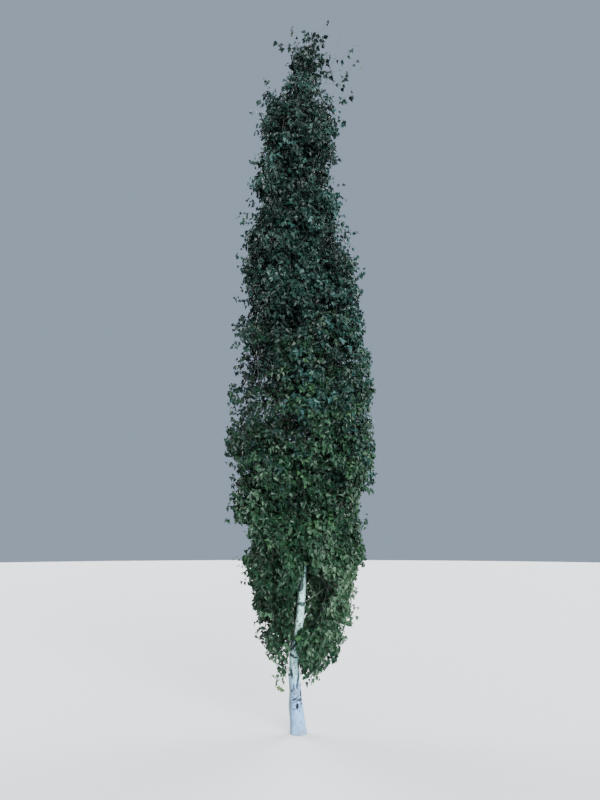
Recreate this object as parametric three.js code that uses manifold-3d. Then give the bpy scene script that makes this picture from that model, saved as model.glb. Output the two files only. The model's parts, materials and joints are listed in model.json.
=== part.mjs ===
// A slender, upright silver birch in full summer leaf: one white tapering trunk with a flared foot,
// steep thin boughs, and a narrow column of foliage made of separate leafy masses round the trunk.
// Millimetres, +Z up. The origin is the centre of the flat cut under the trunk, at ground level.
import * as THREE from "three";
import { mergeVertices } from "three/addons/utils/BufferGeometryUtils.js";
import Module from "manifold-3d";

// Overall size.
const CROWN_TOP = 7180; // highest leaf
const TRUNK_TIP_HEIGHT = 6400; // the trunk becomes the leader of the top mass here
const CLEAR = 0.3; // gap left between pieces that touch on the real tree
const FINEST_DETAIL = 0.6; // edges shorter than this are merged away
const MERGE_DISTANCES = [0.0001, 0.001, 0.005]; // a surface must close with vertices this near merged

// Trunk: radius at any height is a long taper plus a flare at the foot.
const TRUNK_RADIUS = 41;
const TAPER_HEIGHT = 7100;
const TAPER_POWER = 0.85;
const FLARE_RADIUS = 29;
const FLARE_HEIGHT = 380;
const ROOT_LOBES = 5;
const ROOT_LOBE_DEPTH = 0.07;
const ROOT_LOBE_HEIGHT = 110;
const TRUNK_SIDES = 14;
const TRUNK_RINGS = 22;
const TRUNK_RING_CROWDING = 1.7; // above 1, rings crowd towards the foot, where the flare bends most
// Where the trunk's centre wanders to, as [height, sideways, away from the viewer].
const TRUNK_BENDS = [
  [0, 0, 0],
  [200, -20, 6],
  [460, -36, 12],
  [690, -30, 8],
  [910, 8, -8],
  [1400, 37, -14],
  [2600, 10, 22],
  [3700, 38, 4],
  [4900, -34, -18],
  [5800, -6, 6],
  [6400, 74, 18],
  [7200, 165, 24],
];

// Crown: half width of the leafy column at each height, from the lowest leaves to the top.
const CROWN_OUTLINE = [
  [420, 120],
  [660, 310],
  [1080, 445],
  [1730, 575],
  [2420, 665],
  [3400, 655],
  [4480, 545],
  [5040, 450],
  [5640, 425],
  [6250, 400],
  [6700, 280],
  [7000, 170],
  [7230, 60],
];
// The masses stand in tiers. Boughs climb as they leave the trunk, so a tier's floor is a cone that
// rises outwards by this much for each millimetre from the trunk. The cones are tilted, too.
const TIER_RISE = 0.65;
const TIER_TILT = 0.32;
const TILT_AZIMUTH = 20;
// Each tier: the height of its floor at the trunk, the twigs of each mass, and its masses round the
// trunk as [azimuth, half the sector's angle, reach beside the plain outline]. The lowest tier is
// open in front, where the trunk shows through.
const TIERS = [
  { floor: 360, twigs: 7, sectors: [[45, 45, 1.04], [135, 45, 1], [215, 35, 1], [325, 35, 1.04]] },
  { floor: 1450, twigs: 7, sectors: [[0, 45, 1.05], [90, 45, 1], [180, 45, 1.02], [270, 45, 1]] },
  { floor: 2500, twigs: 7, sectors: [[20, 45, 1.02], [110, 45, 1], [200, 45, 1.03], [290, 45, 1]] },
  { floor: 3500, twigs: 7, sectors: [[350, 45, 1.06], [80, 45, 1], [170, 45, 1], [260, 45, 1.02]] },
  { floor: 4430, twigs: 7, sectors: [[60, 60, 1.02], [180, 60, 1.06], [300, 60, 1]] },
  { floor: 5250, twigs: 7, sectors: [[0, 60, 1], [120, 60, 1.06], [240, 60, 1.04]] },
];
// The two masses at the top: the leader, and a shoot that arches out to the right of it.
const TOP_FLOOR = 6020;
const LEADER_LENGTH = 740;
const LEADER = {
  name: "leader",
  floor: TOP_FLOOR,
  ceiling: CROWN_TOP,
  azimuth: 180,
  halfSector: 130,
  reach: 1.0,
  twigs: 9,
  seed: 8000,
};
const ARCHING_SHOOT = {
  name: "arching_shoot",
  floor: TOP_FLOOR,
  ceiling: 6700,
  azimuth: 0,
  halfSector: 50,
  reach: 1.9,
  twigs: 5,
  seed: 7000,
};

// Boughs of the lowest tier, which show below the leaves. They are thin and climb steeply.
const LOW_BOUGHS = [
  { height: 890, azimuth: 25, radius: 8 },
  { height: 790, azimuth: 125, radius: 9 },
  { height: 460, azimuth: 196, radius: 7 },
  { height: 600, azimuth: 335, radius: 12 },
];
const LOW_BOUGH_RISE = 1.35; // beside how far it reaches
// Other boughs leave the trunk this far above their tier's floor, and so far up their tier.
const BOUGH_START_ROOM = 60;
const BOUGH_START_SHARES = [0.04, 0.2];
const BOUGH_START_SWING = 24; // degrees, across the middle of the sector
const BOUGH_BASE_SHARE = 0.34; // bough thickness beside the trunk's at the same height
const BOUGH_TIP_SHARE = 0.62;
const BOUGH_END_SHARES = [0.26, 0.32]; // of the crown's half width, where the mass takes over
const BOUGH_END_LEVEL_SHARE = 0.12; // up its tier
const BOUGH_SAG_SHARE = 0.25; // how far a bough may end below where it started, beside its length
const BOUGH_BEND_SHARE = 0.62;
const BOUGH_SIDES = 6;
const BOUGH_RINGS = 2;
// A thin shoot that leaves the trunk low on the right and climbs close beside it.
const LOW_SHOOT = { height: 350, azimuth: 350, radius: 7, top: 760, stand: 56, elbow: 70 };

// Masses: one stem, twigs round it, and blades that each stand for a spray of small leaves.
const INSET = 4; // kept between a mass and the borders of its space
const STEM_SIDES = 6;
const STEM_RINGS = 6;
const STEM_END_SHARE = 0.66; // of the crown's half width
const STEM_END_LEVEL_SHARE = 0.86; // up its tier
const STEM_END_SWING = 16; // degrees, across the middle of the sector
const STEM_BEND_SHARE = 0.4;
const HEART_SHARE = 0.22; // of the crown's half width, for the dense heart of a mass
const HEART_SPAN = [0.12, 0.92]; // along the stem
const HEART_POWER = 1.2;
const TWIG_SIDES = 3;
const TWIG_RADIUS = 6.5;
const TWIG_TIP_RADIUS = 3.2;
const TWIG_INSET = 40; // kept between a twig's end and the borders of its space
const TWIG_DRAWS = 40;
const TWIG_CLIMB = 0.5; // how steeply a twig rises from the stem
const STEM_STATIONS = [0.06, 0.18, 0.3, 0.42, 0.54, 0.66, 0.78];
const TIP_TWIG_START = 0.8; // place along the stem where its last twig starts
const INNER_SHARE = 0.08; // the middle of the crown, as a share of its section, holds few twig ends
const BLADE_STATIONS = [0.98, 0.6, 0.8]; // places of the blades along a twig
const HEART_STATIONS = [0.25, 0.35, 0.45, 0.55, 0.65, 0.75]; // and along the heart
const HEART_ROOT_SHARE = 0.8; // depth of a blade's root in the heart
const HEART_BLADE_PARTS = [0.7, 0.35]; // random and outward parts of such a blade's direction
const GOLDEN_ANGLE = 137.508;
const BLADE_TRIES = 80;
const BLADE_RISE = [-0.6, 0.5]; // vertical part of a blade's direction; both others go to 0.5
const FACE_UP = 0.5; // a blade faces outwards and up, with a random part
const FACE_SWING = 1.6;
const LEAF_LENGTH = 370;
const LEAF_LENGTH_SHARES = [0.85, 1.15];
const LEAF_SMALL_SHARE = 0.3; // blades near the top and the foot of the crown are shorter
const LEAF_FULL_SIZE_RADIUS = 800;
const LEAF_WIDTH_SHARE = 0.84;
const LEAF_THICKNESS_SHARE = 0.022;
const LEAF_FOLD_SHARE = 0.1; // how far the edges are folded up from the midrib
const LEAF_WIDEST = 0.36; // place of the widest part along the blade
const LIMB_ROOM = 2; // kept between a blade and a bough or the trunk

const BARK_WHITE = { color: 0xe4e4e0, roughness: 0.75 };
const BARK_GREY = { color: 0xb9b3a8, roughness: 0.8 };
const LEAF_GREEN = { color: 0x2f4a2a, roughness: 0.55 };

const wasm = await Module();
wasm.setup();
const UP = new THREE.Vector3(0, 0, 1);
const { degToRad: radians, radToDeg: degrees, euclideanModulo, clamp, lerp } = THREE.MathUtils;

// Seeded random numbers from 0 to 1, the same on every run.
function seeded(seed) {
  let state = seed >>> 0;
  return () => {
    state = (state + 0x6d2b79f5) >>> 0;
    let mixed = Math.imul(state ^ (state >>> 15), 1 | state);
    mixed = (mixed + Math.imul(mixed ^ (mixed >>> 7), 61 | mixed)) ^ mixed;
    return ((mixed ^ (mixed >>> 14)) >>> 0) / 4294967296;
  };
}

// Smooth value at a height, from rows of [height, value, ...]; column picks the value.
function smoothAt(rows, height, column) {
  const last = rows.length - 2;
  let i = 0;
  while (i < last && height > rows[i + 1][0]) i += 1;
  const [before, start, end, after] = [-1, 0, 1, 2].map(
    (step) => rows[clamp(i + step, 0, rows.length - 1)],
  );
  const span = end[0] - start[0];
  const t = clamp((height - start[0]) / span, 0, 1);
  const slopeIn = (end[column] - before[column]) / (end[0] - before[0]);
  const slopeOut = (after[column] - start[column]) / (after[0] - start[0]);
  const [t2, t3] = [t * t, t * t * t];
  return (
    start[column] * (2 * t3 - 3 * t2 + 1) +
    slopeIn * span * (t3 - 2 * t2 + t) +
    end[column] * (3 * t2 - 2 * t3) +
    slopeOut * span * (t3 - t2)
  );
}

const trunkCentre = (z) =>
  new THREE.Vector3(smoothAt(TRUNK_BENDS, z, 1), smoothAt(TRUNK_BENDS, z, 2), z);

function trunkRadius(z) {
  const taper = TRUNK_RADIUS * Math.pow(1 - z / TAPER_HEIGHT, TAPER_POWER);
  return taper + FLARE_RADIUS * Math.exp(-Math.pow(z / FLARE_HEIGHT, 1.5));
}

const crownRadius = (z) => smoothAt(CROWN_OUTLINE, z, 1);

// Point at a height, a distance from the trunk's centre and an azimuth in degrees.
function around(z, radius, azimuth) {
  const angle = radians(azimuth);
  const offset = new THREE.Vector3(Math.cos(angle), Math.sin(angle), 0);
  return trunkCentre(z).addScaledVector(offset, radius);
}

// Height where a level of the crown, named by its height at the trunk, stands further out.
function heightAt(level, radius, azimuth) {
  const tilt = TIER_TILT * Math.cos(radians(azimuth - TILT_AZIMUTH));
  return level + (TIER_RISE + tilt) * radius;
}

// A three.js geometry as a manifold-3d solid.
function solidOf(geometry) {
  const bare = geometry.index ? geometry.toNonIndexed() : geometry.clone();
  bare.deleteAttribute("normal");
  bare.deleteAttribute("uv");
  const merged = mergeVertices(bare, MERGE_DISTANCES[1]);
  return new wasm.Manifold(
    new wasm.Mesh({
      numProp: 3,
      vertProperties: new Float32Array(merged.attributes.position.array),
      triVerts: new Uint32Array(merged.index.array),
    }),
  );
}

// The outer shell of a fused solid: hollows sealed by the joining are filled, loose scrap dropped.
function outerShell(solid) {
  const shells = solid.decompose();
  return shells.reduce((best, shell) => (shell.volume() > best.volume() ? shell : best));
}

function geometryOf(solid) {
  const mesh = solid.getMesh();
  const geometry = new THREE.BufferGeometry();
  geometry.setAttribute("position", new THREE.BufferAttribute(mesh.vertProperties, 3));
  geometry.setIndex(new THREE.BufferAttribute(mesh.triVerts, 1));
  geometry.computeVertexNormals();
  return geometry;
}

// True if the surface still closes edge to edge once vertices that all but touch are merged.
function closesWhenMerged(solid, distance) {
  const bare = geometryOf(solid);
  bare.deleteAttribute("normal");
  const corners = mergeVertices(bare, distance).index.array;
  const edges = new Map();
  for (let i = 0; i < corners.length; i += 3) {
    const [a, b, c] = corners.slice(i, i + 3);
    if (a === b || b === c || c === a) continue;
    for (const [from, to] of [[a, b], [b, c], [c, a]]) {
      const key = from < to ? `${from} ${to}` : `${to} ${from}`;
      edges.set(key, (edges.get(key) ?? 0) + 1);
    }
  }
  return [...edges.values()].every((faces) => faces === 2);
}

// Wood and blades in one solid. Where a blade's joint doesn't close cleanly, blades are left out.
function fusedCleanly(wood, blades) {
  const kept = [...blades];
  for (;;) {
    const fused = outerShell(wasm.Manifold.union([...wood, ...kept]).simplify(FINEST_DETAIL));
    if (MERGE_DISTANCES.every((distance) => closesWhenMerged(fused, distance))) return fused;
    kept.pop();
  }
}

// Moves each vertex of a geometry to place(vertex).
function reshaped(geometry, place) {
  const positions = geometry.attributes.position;
  const vertex = new THREE.Vector3();
  for (let i = 0; i < positions.count; i += 1) {
    const moved = place(vertex.fromBufferAttribute(positions, i));
    positions.setXYZ(i, moved.x, moved.y, moved.z);
  }
  return geometry;
}

// Two directions square to each other and to the given one.
function squareTo(direction) {
  const helper = Math.abs(direction.z) > 0.9 ? new THREE.Vector3(1, 0, 0) : UP;
  const first = new THREE.Vector3().crossVectors(helper, direction).normalize();
  const second = new THREE.Vector3().crossVectors(direction, first).normalize();
  return [first, second];
}

// A closed limb along a curve: a cylinder bent to the curve, radiusAt(t) thick from t = 0 to 1.
function limb(curve, radiusAt, sides, rings) {
  const [side] = squareTo(curve.getTangentAt(0));
  const cylinder = new THREE.CylinderGeometry(1, 1, 1, sides, rings);
  return reshaped(cylinder, (vertex) => {
    const t = vertex.y + 0.5;
    const along = curve.getTangentAt(t);
    const across = side.clone().addScaledVector(along, -side.dot(along)).normalize();
    const other = new THREE.Vector3().crossVectors(across, along);
    const radius = radiusAt(t);
    return curve
      .getPointAt(t)
      .addScaledVector(across, vertex.x * radius)
      .addScaledVector(other, vertex.z * radius);
  });
}

// The trunk's solid, thicker by extra all round.
function trunkSolid(extra) {
  const cylinder = new THREE.CylinderGeometry(1, 1, 1, TRUNK_SIDES, TRUNK_RINGS);
  const shape = reshaped(cylinder, (vertex) => {
    const z = TRUNK_TIP_HEIGHT * Math.pow(vertex.y + 0.5, TRUNK_RING_CROWDING);
    const angle = Math.atan2(-vertex.z, vertex.x);
    const lobes = 1 + ROOT_LOBE_DEPTH * Math.cos(ROOT_LOBES * angle) * Math.exp(-z / ROOT_LOBE_HEIGHT);
    const radius = Math.hypot(vertex.x, vertex.z) * (trunkRadius(z) * lobes + extra);
    return trunkCentre(z).add(
      new THREE.Vector3(Math.cos(angle) * radius, Math.sin(angle) * radius, 0),
    );
  });
  return solidOf(shape);
}

// The space of a mass: between two cones, inside the crown's outline and within its sector.
function spaceOf({ floor, ceiling, azimuth, halfSector, reach }) {
  return (point, inset) => {
    const centre = trunkCentre(point.z);
    const [x, y] = [point.x - centre.x, point.y - centre.y];
    const radius = Math.hypot(x, y);
    const heading = degrees(Math.atan2(y, x));
    if (point.z < heightAt(floor, radius, heading) + inset) return false;
    if (point.z > Math.min(heightAt(ceiling, radius, heading), CROWN_TOP) - inset) return false;
    if (radius > crownRadius(point.z) * reach) return false;
    const turn = Math.abs(euclideanModulo(heading - azimuth + 180, 360) - 180);
    return radius * Math.sin(radians(Math.min(halfSector - turn, 90))) > inset;
  };
}

// One leaf-shaped blade, as a folded sheet that is thickest on its midrib.
function bladeAt(root, direction, face, length) {
  const across = new THREE.Vector3().crossVectors(face, direction).normalize();
  const lift = new THREE.Vector3().crossVectors(direction, across).normalize();
  const halfWidth = (length * LEAF_WIDTH_SHARE) / 2;
  const halfThick = (length * LEAF_THICKNESS_SHARE) / 2;
  return reshaped(new THREE.OctahedronGeometry(1), (corner) => {
    const onMidrib = Math.abs(corner.x) < 0.5;
    const along = onMidrib ? LEAF_WIDEST : (corner.x + 1) / 2;
    const fold = Math.abs(corner.y) * LEAF_FOLD_SHARE * length;
    return root
      .clone()
      .addScaledVector(direction, along * length)
      .addScaledVector(across, corner.y * halfWidth)
      .addScaledVector(lift, corner.z * halfThick + fold);
  });
}

// Points along a blade's edges, used to test it against the borders of its space.
function edgePoints(blade) {
  const positions = blade.attributes.position;
  const corners = [];
  for (let i = 0; i < positions.count; i += 1)
    corners.push(new THREE.Vector3().fromBufferAttribute(positions, i));
  return corners.flatMap((corner, i) => [
    corner,
    corner.clone().lerp(corners[i % 3 === 2 ? i - 2 : i + 1], 0.5),
  ]);
}

// A random point inside a mass's space, or nothing if the one drawn falls outside.
function drawnPoint(mass, random, inSpace) {
  const azimuth = mass.azimuth + mass.halfSector * (2 * random() - 1);
  const level = mass.floor + (mass.ceiling - mass.floor) * random();
  const reach = crownRadius(level + TIER_RISE * crownRadius(level)) * mass.reach;
  const radius = reach * Math.sqrt(INNER_SHARE + (1 - INNER_SHARE) * random());
  const point = around(heightAt(level, radius, azimuth), radius, azimuth);
  return inSpace(point, TWIG_INSET) ? point : null;
}

const nearest = (point, others) => Math.min(...others.map((other) => point.distanceTo(other)));

// The twigs of a mass. Each ends as far as it can from those before it, so that together they fill
// the space, and leaves the stem lower down than it ends.
function twigsOf(stem, mass, inSpace) {
  const random = seeded(mass.seed);
  const ends = [stem.getPoint(1)];
  const twigs = [new THREE.LineCurve3(stem.getPoint(TIP_TWIG_START), stem.getPoint(1))];
  for (let n = 0; n < mass.twigs; n += 1) {
    const drawn = Array.from({ length: TWIG_DRAWS }, () => drawnPoint(mass, random, inSpace));
    const end = drawn
      .filter((point) => point)
      .reduce((best, point) => (nearest(point, ends) > nearest(best, ends) ? point : best));
    const starts = STEM_STATIONS.map((t) => stem.getPoint(t));
    const misfit = (start) => {
      const across = Math.hypot(end.x - start.x, end.y - start.y);
      return Math.abs(end.z - start.z - TWIG_CLIMB * across);
    };
    const start = starts.reduce((best, point) => (misfit(point) < misfit(best) ? point : best));
    ends.push(end);
    twigs.push(new THREE.LineCurve3(start, end));
  }
  return twigs;
}

// Thickness of a mass's stem, which swells into the dense heart of the mass.
function stemRadius(t, footRadius, heart) {
  const swell = Math.sin(Math.PI * clamp((t - HEART_SPAN[0]) / (HEART_SPAN[1] - HEART_SPAN[0]), 0, 1));
  return lerp(footRadius, TWIG_TIP_RADIUS, t) + heart * Math.pow(swell, HEART_POWER);
}

// Places where a blade can be rooted: along each twig, and round the heart just under its surface.
function perchesOf(stem, radiusAt, twigs, twigSolids, stemSolid) {
  const onTwigs = BLADE_STATIONS.map((share) =>
    twigs.map((twig, i) => ({ root: twig.getPoint(share), wood: twigSolids[i] })),
  );
  const [first, second] = squareTo(stem.getTangent(0.5));
  const onHeart = HEART_STATIONS.map((t, i) => {
    const turn = radians(i * GOLDEN_ANGLE);
    const side = first.clone().multiplyScalar(Math.cos(turn)).addScaledVector(second, Math.sin(turn));
    const root = stem.getPoint(t).addScaledVector(side, HEART_ROOT_SHARE * radiusAt(t));
    return { root, wood: stemSolid, side };
  });
  return [...onTwigs[0], ...onHeart, ...onTwigs.slice(1).flat()];
}

// A spray blade at a perch: of several that fit their space and clear the other wood and blades,
// the one that stands furthest from its neighbours, or nothing.
function fittedBlade({ root, side }, random, inSpace, others, centres) {
  const middle = trunkCentre(root.z);
  const outward = new THREE.Vector3(root.x - middle.x, root.y - middle.y, 0).normalize();
  const grown = LEAF_SMALL_SHARE + crownRadius(root.z) / LEAF_FULL_SIZE_RADIUS;
  const centred = () => random() - 0.5;
  let best = null;
  for (let attempt = 0; attempt < BLADE_TRIES; attempt += 1) {
    const direction = new THREE.Vector3(centred(), centred(), lerp(...BLADE_RISE, random()));
    if (side) direction.multiplyScalar(HEART_BLADE_PARTS[0]).addScaledVector(side, HEART_BLADE_PARTS[1]);
    direction.normalize();
    const swing = new THREE.Vector3(centred(), centred(), centred());
    const face = outward.clone().addScaledVector(UP, FACE_UP).addScaledVector(swing, FACE_SWING);
    const length = LEAF_LENGTH * Math.min(1, grown) * lerp(...LEAF_LENGTH_SHARES, random());
    const blade = bladeAt(root, direction, face, length);
    const centre = root.clone().addScaledVector(direction, length / 2);
    const room = nearest(centre, centres);
    if (best && room < best.room) continue;
    if (!edgePoints(blade).every((point) => inSpace(point, INSET))) continue;
    const solid = solidOf(blade);
    if (others.every((other) => solid.intersect(other).isEmpty())) best = { solid, centre, room };
  }
  return best;
}

// A mass of foliage fused in one piece: stem and heart, twigs and blades.
function massSolid(mass, stem, footRadius, limbs) {
  const inSpace = spaceOf(mass);
  const random = seeded(mass.seed + 2);
  const heart = crownRadius(stem.getPoint(0.5).z) * HEART_SHARE;
  const radiusAt = (t) => stemRadius(t, footRadius, heart);
  const slim = (t) => lerp(TWIG_RADIUS, TWIG_TIP_RADIUS, t);
  const stemSolid = solidOf(limb(stem, radiusAt, STEM_SIDES, STEM_RINGS));
  const twigs = twigsOf(stem, mass, inSpace);
  const twigSolids = twigs.map((twig) => solidOf(limb(twig, slim, TWIG_SIDES, 1)));
  const wood = [stemSolid, ...twigSolids];
  const blades = [];
  const centres = [stem.getPoint(0.5)];
  for (const perch of perchesOf(stem, radiusAt, twigs, twigSolids, stemSolid)) {
    const others = [...limbs, ...wood.filter((piece) => piece !== perch.wood), ...blades];
    const blade = fittedBlade(perch, random, inSpace, others, centres);
    if (!blade) continue;
    blades.push(blade.solid);
    centres.push(blade.centre);
  }
  return fusedCleanly(wood, blades);
}

const tree = new THREE.Group();
function addNode(name, solid, look) {
  const mesh = new THREE.Mesh(geometryOf(solid), new THREE.MeshStandardMaterial(look));
  mesh.name = name;
  tree.add(mesh);
}

// Every mass of a tier.
function tierMasses(tier, index) {
  const ceiling = index + 1 < TIERS.length ? TIERS[index + 1].floor : TOP_FLOOR;
  return tier.sectors.map(([azimuth, halfSector, reach], place) => ({
    name: `tier_${index + 1}_${"abcd"[place]}`,
    floor: tier.floor,
    ceiling,
    azimuth,
    halfSector,
    reach,
    twigs: tier.twigs,
    seed: 1000 * (index + 1) + 37 * place,
    foot: index === 0 ? LOW_BOUGHS[place] : null,
  }));
}

// A bough's course from inside the trunk to the foot of its mass, and the mass's stem beyond it.
function coursesOf(mass) {
  const span = mass.ceiling - mass.floor;
  const random = seeded(mass.seed + 1);
  const baseHeight =
    mass.foot?.height ?? mass.floor + BOUGH_START_ROOM + span * lerp(...BOUGH_START_SHARES, random());
  const baseAzimuth = mass.foot?.azimuth ?? mass.azimuth + BOUGH_START_SWING * (random() - 0.5);
  const baseRadius = mass.foot?.radius ?? BOUGH_BASE_SHARE * trunkRadius(baseHeight);
  const tipRadius = crownRadius(mass.ceiling) * lerp(...BOUGH_END_SHARES, random());
  const lowest = baseHeight - BOUGH_SAG_SHARE * tipRadius;
  const tipLevel = Math.max(mass.floor + BOUGH_END_LEVEL_SHARE * span, lowest);
  const tipHeight = mass.foot
    ? baseHeight + LOW_BOUGH_RISE * tipRadius
    : heightAt(tipLevel, tipRadius, mass.azimuth);
  const tip = around(tipHeight, tipRadius, mass.azimuth);
  const base = around(baseHeight, 0.3 * trunkRadius(baseHeight), baseAzimuth);
  const bend = around((baseHeight + tip.z) / 2, BOUGH_BEND_SHARE * tipRadius, baseAzimuth);
  const endRadius = STEM_END_SHARE * crownRadius(mass.ceiling) * Math.sqrt(mass.reach);
  const endAzimuth = mass.azimuth + STEM_END_SWING * (random() - 0.5);
  const endHeight = heightAt(mass.floor + STEM_END_LEVEL_SHARE * span, endRadius, endAzimuth);
  const end = around(endHeight, endRadius, endAzimuth);
  const heading = tip.clone().sub(bend).normalize();
  const stemStart = tip.clone().addScaledVector(heading, CLEAR);
  const length = stemStart.distanceTo(end);
  const stemBend = stemStart.clone().addScaledVector(heading, STEM_BEND_SHARE * length);
  return {
    bough: new THREE.QuadraticBezierCurve3(base, bend, tip),
    stem: new THREE.QuadraticBezierCurve3(stemStart, stemBend, end),
    baseRadius,
  };
}

addNode("trunk", trunkSolid(0), BARK_WHITE);
const trunkWithGap = trunkSolid(CLEAR);
const trunkWithRoom = trunkSolid(LIMB_ROOM);

function addBough(name, course, baseRadius, tipRadius) {
  const thickness = (extra) => (t) => baseRadius + (tipRadius - baseRadius) * t + extra;
  const whole = solidOf(limb(course, thickness(0), BOUGH_SIDES, BOUGH_RINGS));
  addNode(name, whole.subtract(trunkWithGap), BARK_GREY);
  return solidOf(limb(course, thickness(LIMB_ROOM), BOUGH_SIDES, BOUGH_RINGS));
}

const shootBase = around(LOW_SHOOT.height, 0.3 * trunkRadius(LOW_SHOOT.height), LOW_SHOOT.azimuth);
const shootTip = around(LOW_SHOOT.top, LOW_SHOOT.stand, LOW_SHOOT.azimuth);
const shootBend = shootTip.clone().setZ(LOW_SHOOT.height + LOW_SHOOT.elbow);
const lowShoot = addBough(
  "low_shoot",
  new THREE.QuadraticBezierCurve3(shootBase, shootBend, shootTip),
  LOW_SHOOT.radius,
  LOW_SHOOT.radius * BOUGH_TIP_SHARE,
);

const carried = [...TIERS.flatMap(tierMasses), ARCHING_SHOOT];
const courses = carried.map(coursesOf);
const roomy = courses.map(({ bough, baseRadius }, i) =>
  addBough(`bough_${carried[i].name}`, bough, baseRadius, baseRadius * BOUGH_TIP_SHARE),
);
const limbs = [trunkWithRoom, lowShoot, ...roomy];
carried.forEach((mass, i) => {
  const { stem, baseRadius } = courses[i];
  addNode(
    `leaves_${mass.name}`,
    massSolid(mass, stem, baseRadius * BOUGH_TIP_SHARE, limbs),
    LEAF_GREEN,
  );
});

const leaderFoot = trunkCentre(TRUNK_TIP_HEIGHT + CLEAR);
const leaderStem = new THREE.QuadraticBezierCurve3(
  leaderFoot,
  leaderFoot.clone().addScaledVector(UP, STEM_BEND_SHARE * LEADER_LENGTH),
  trunkCentre(TRUNK_TIP_HEIGHT + LEADER_LENGTH),
);
addNode(
  `leaves_${LEADER.name}`,
  massSolid(LEADER, leaderStem, trunkRadius(TRUNK_TIP_HEIGHT), limbs),
  LEAF_GREEN,
);

export default tree;
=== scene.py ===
"""A slender, upright silver birch in full summer leaf, dressed on its frame.

The trunk and the boughs get bark with real relief. Each mass of foliage grows out of its bough by
the rule that its solid follows, carried on to fine twigs and single leaves. Metres, +Z up.
"""

import json
import math
from functools import lru_cache, reduce
from typing import NamedTuple

import bpy
import numpy as np
from bpy.props import FloatProperty, FloatVectorProperty, IntProperty, PointerProperty
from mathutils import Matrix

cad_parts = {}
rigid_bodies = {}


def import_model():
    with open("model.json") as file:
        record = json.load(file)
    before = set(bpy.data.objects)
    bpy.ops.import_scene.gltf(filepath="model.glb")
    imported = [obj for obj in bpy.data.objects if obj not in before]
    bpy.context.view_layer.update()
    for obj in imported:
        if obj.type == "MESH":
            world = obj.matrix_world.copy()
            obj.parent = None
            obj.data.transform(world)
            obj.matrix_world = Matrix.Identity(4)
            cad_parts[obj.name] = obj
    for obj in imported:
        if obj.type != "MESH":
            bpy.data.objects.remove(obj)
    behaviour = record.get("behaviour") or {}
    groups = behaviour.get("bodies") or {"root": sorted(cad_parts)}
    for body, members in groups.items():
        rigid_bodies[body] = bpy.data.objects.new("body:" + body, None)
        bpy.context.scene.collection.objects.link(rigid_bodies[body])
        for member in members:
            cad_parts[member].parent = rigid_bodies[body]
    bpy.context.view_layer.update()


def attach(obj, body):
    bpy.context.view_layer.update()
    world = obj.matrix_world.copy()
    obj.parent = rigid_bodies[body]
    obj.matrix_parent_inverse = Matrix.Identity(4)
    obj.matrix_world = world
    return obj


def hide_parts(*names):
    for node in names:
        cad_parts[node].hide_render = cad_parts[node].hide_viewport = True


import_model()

bl_info = {
    "name": "Slender Silver Birch",
    "version": (1, 0, 0),
    "blender": (4, 5, 0),
    "location": "3D View > Sidebar > Birch",
    "description": "Bark, boughs, twigs and leaves of one upright silver birch",
    "category": "Object",
}

# Trunk: radius at any height is a long taper plus a flare at the foot.
TRUNK_TIP_HEIGHT = 6.4
TRUNK_RADIUS = 0.041
TAPER_HEIGHT = 7.1
TAPER_POWER = 0.85
FLARE_RADIUS = 0.029
FLARE_HEIGHT = 0.38
FLARE_POWER = 1.5
ROOT_LOBES = 5
ROOT_LOBE_DEPTH = 0.07
ROOT_LOBE_HEIGHT = 0.11
# Where the trunk's centre wanders to, as (height, sideways, away from the viewer).
TRUNK_BENDS = (
    (0.0, 0.0, 0.0),
    (0.2, -0.02, 0.006),
    (0.46, -0.036, 0.012),
    (0.69, -0.03, 0.008),
    (0.91, 0.008, -0.008),
    (1.4, 0.037, -0.014),
    (2.6, 0.01, 0.022),
    (3.7, 0.038, 0.004),
    (4.9, -0.034, -0.018),
    (5.8, -0.006, 0.006),
    (6.4, 0.074, 0.018),
    (7.2, 0.165, 0.024),
)

# Crown: half width of the leafy column at each height.
CROWN_TOP = 7.18
CROWN_OUTLINE = (
    (0.42, 0.12),
    (0.66, 0.31),
    (1.08, 0.445),
    (1.73, 0.575),
    (2.42, 0.665),
    (3.4, 0.655),
    (4.48, 0.545),
    (5.04, 0.45),
    (5.64, 0.425),
    (6.25, 0.4),
    (6.7, 0.28),
    (7.0, 0.17),
    (7.23, 0.06),
)
# Each tier's floor is a tilted cone that rises outwards by this much for each metre.
TIER_RISE = 0.65
TIER_TILT = 0.32
TILT_AZIMUTH = 20
# Each tier: its floor at the trunk, the main twigs of each of its masses, and the masses as
# (azimuth, half sector, reach). Angles are in degrees from the right, counted towards the back.
TIERS = (
    (0.36, 7, ((45, 45, 1.04), (135, 45, 1.0), (215, 35, 1.0), (325, 35, 1.04))),
    (1.45, 7, ((0, 45, 1.05), (90, 45, 1.0), (180, 45, 1.02), (270, 45, 1.0))),
    (2.5, 7, ((20, 45, 1.02), (110, 45, 1.0), (200, 45, 1.03), (290, 45, 1.0))),
    (3.5, 7, ((350, 45, 1.06), (80, 45, 1.0), (170, 45, 1.0), (260, 45, 1.02))),
    (4.43, 7, ((60, 60, 1.02), (180, 60, 1.06), (300, 60, 1.0))),
    (5.25, 7, ((0, 60, 1.0), (120, 60, 1.06), (240, 60, 1.04))),
)
TOP_FLOOR = 6.02
LEADER_LENGTH = 0.74
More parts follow.
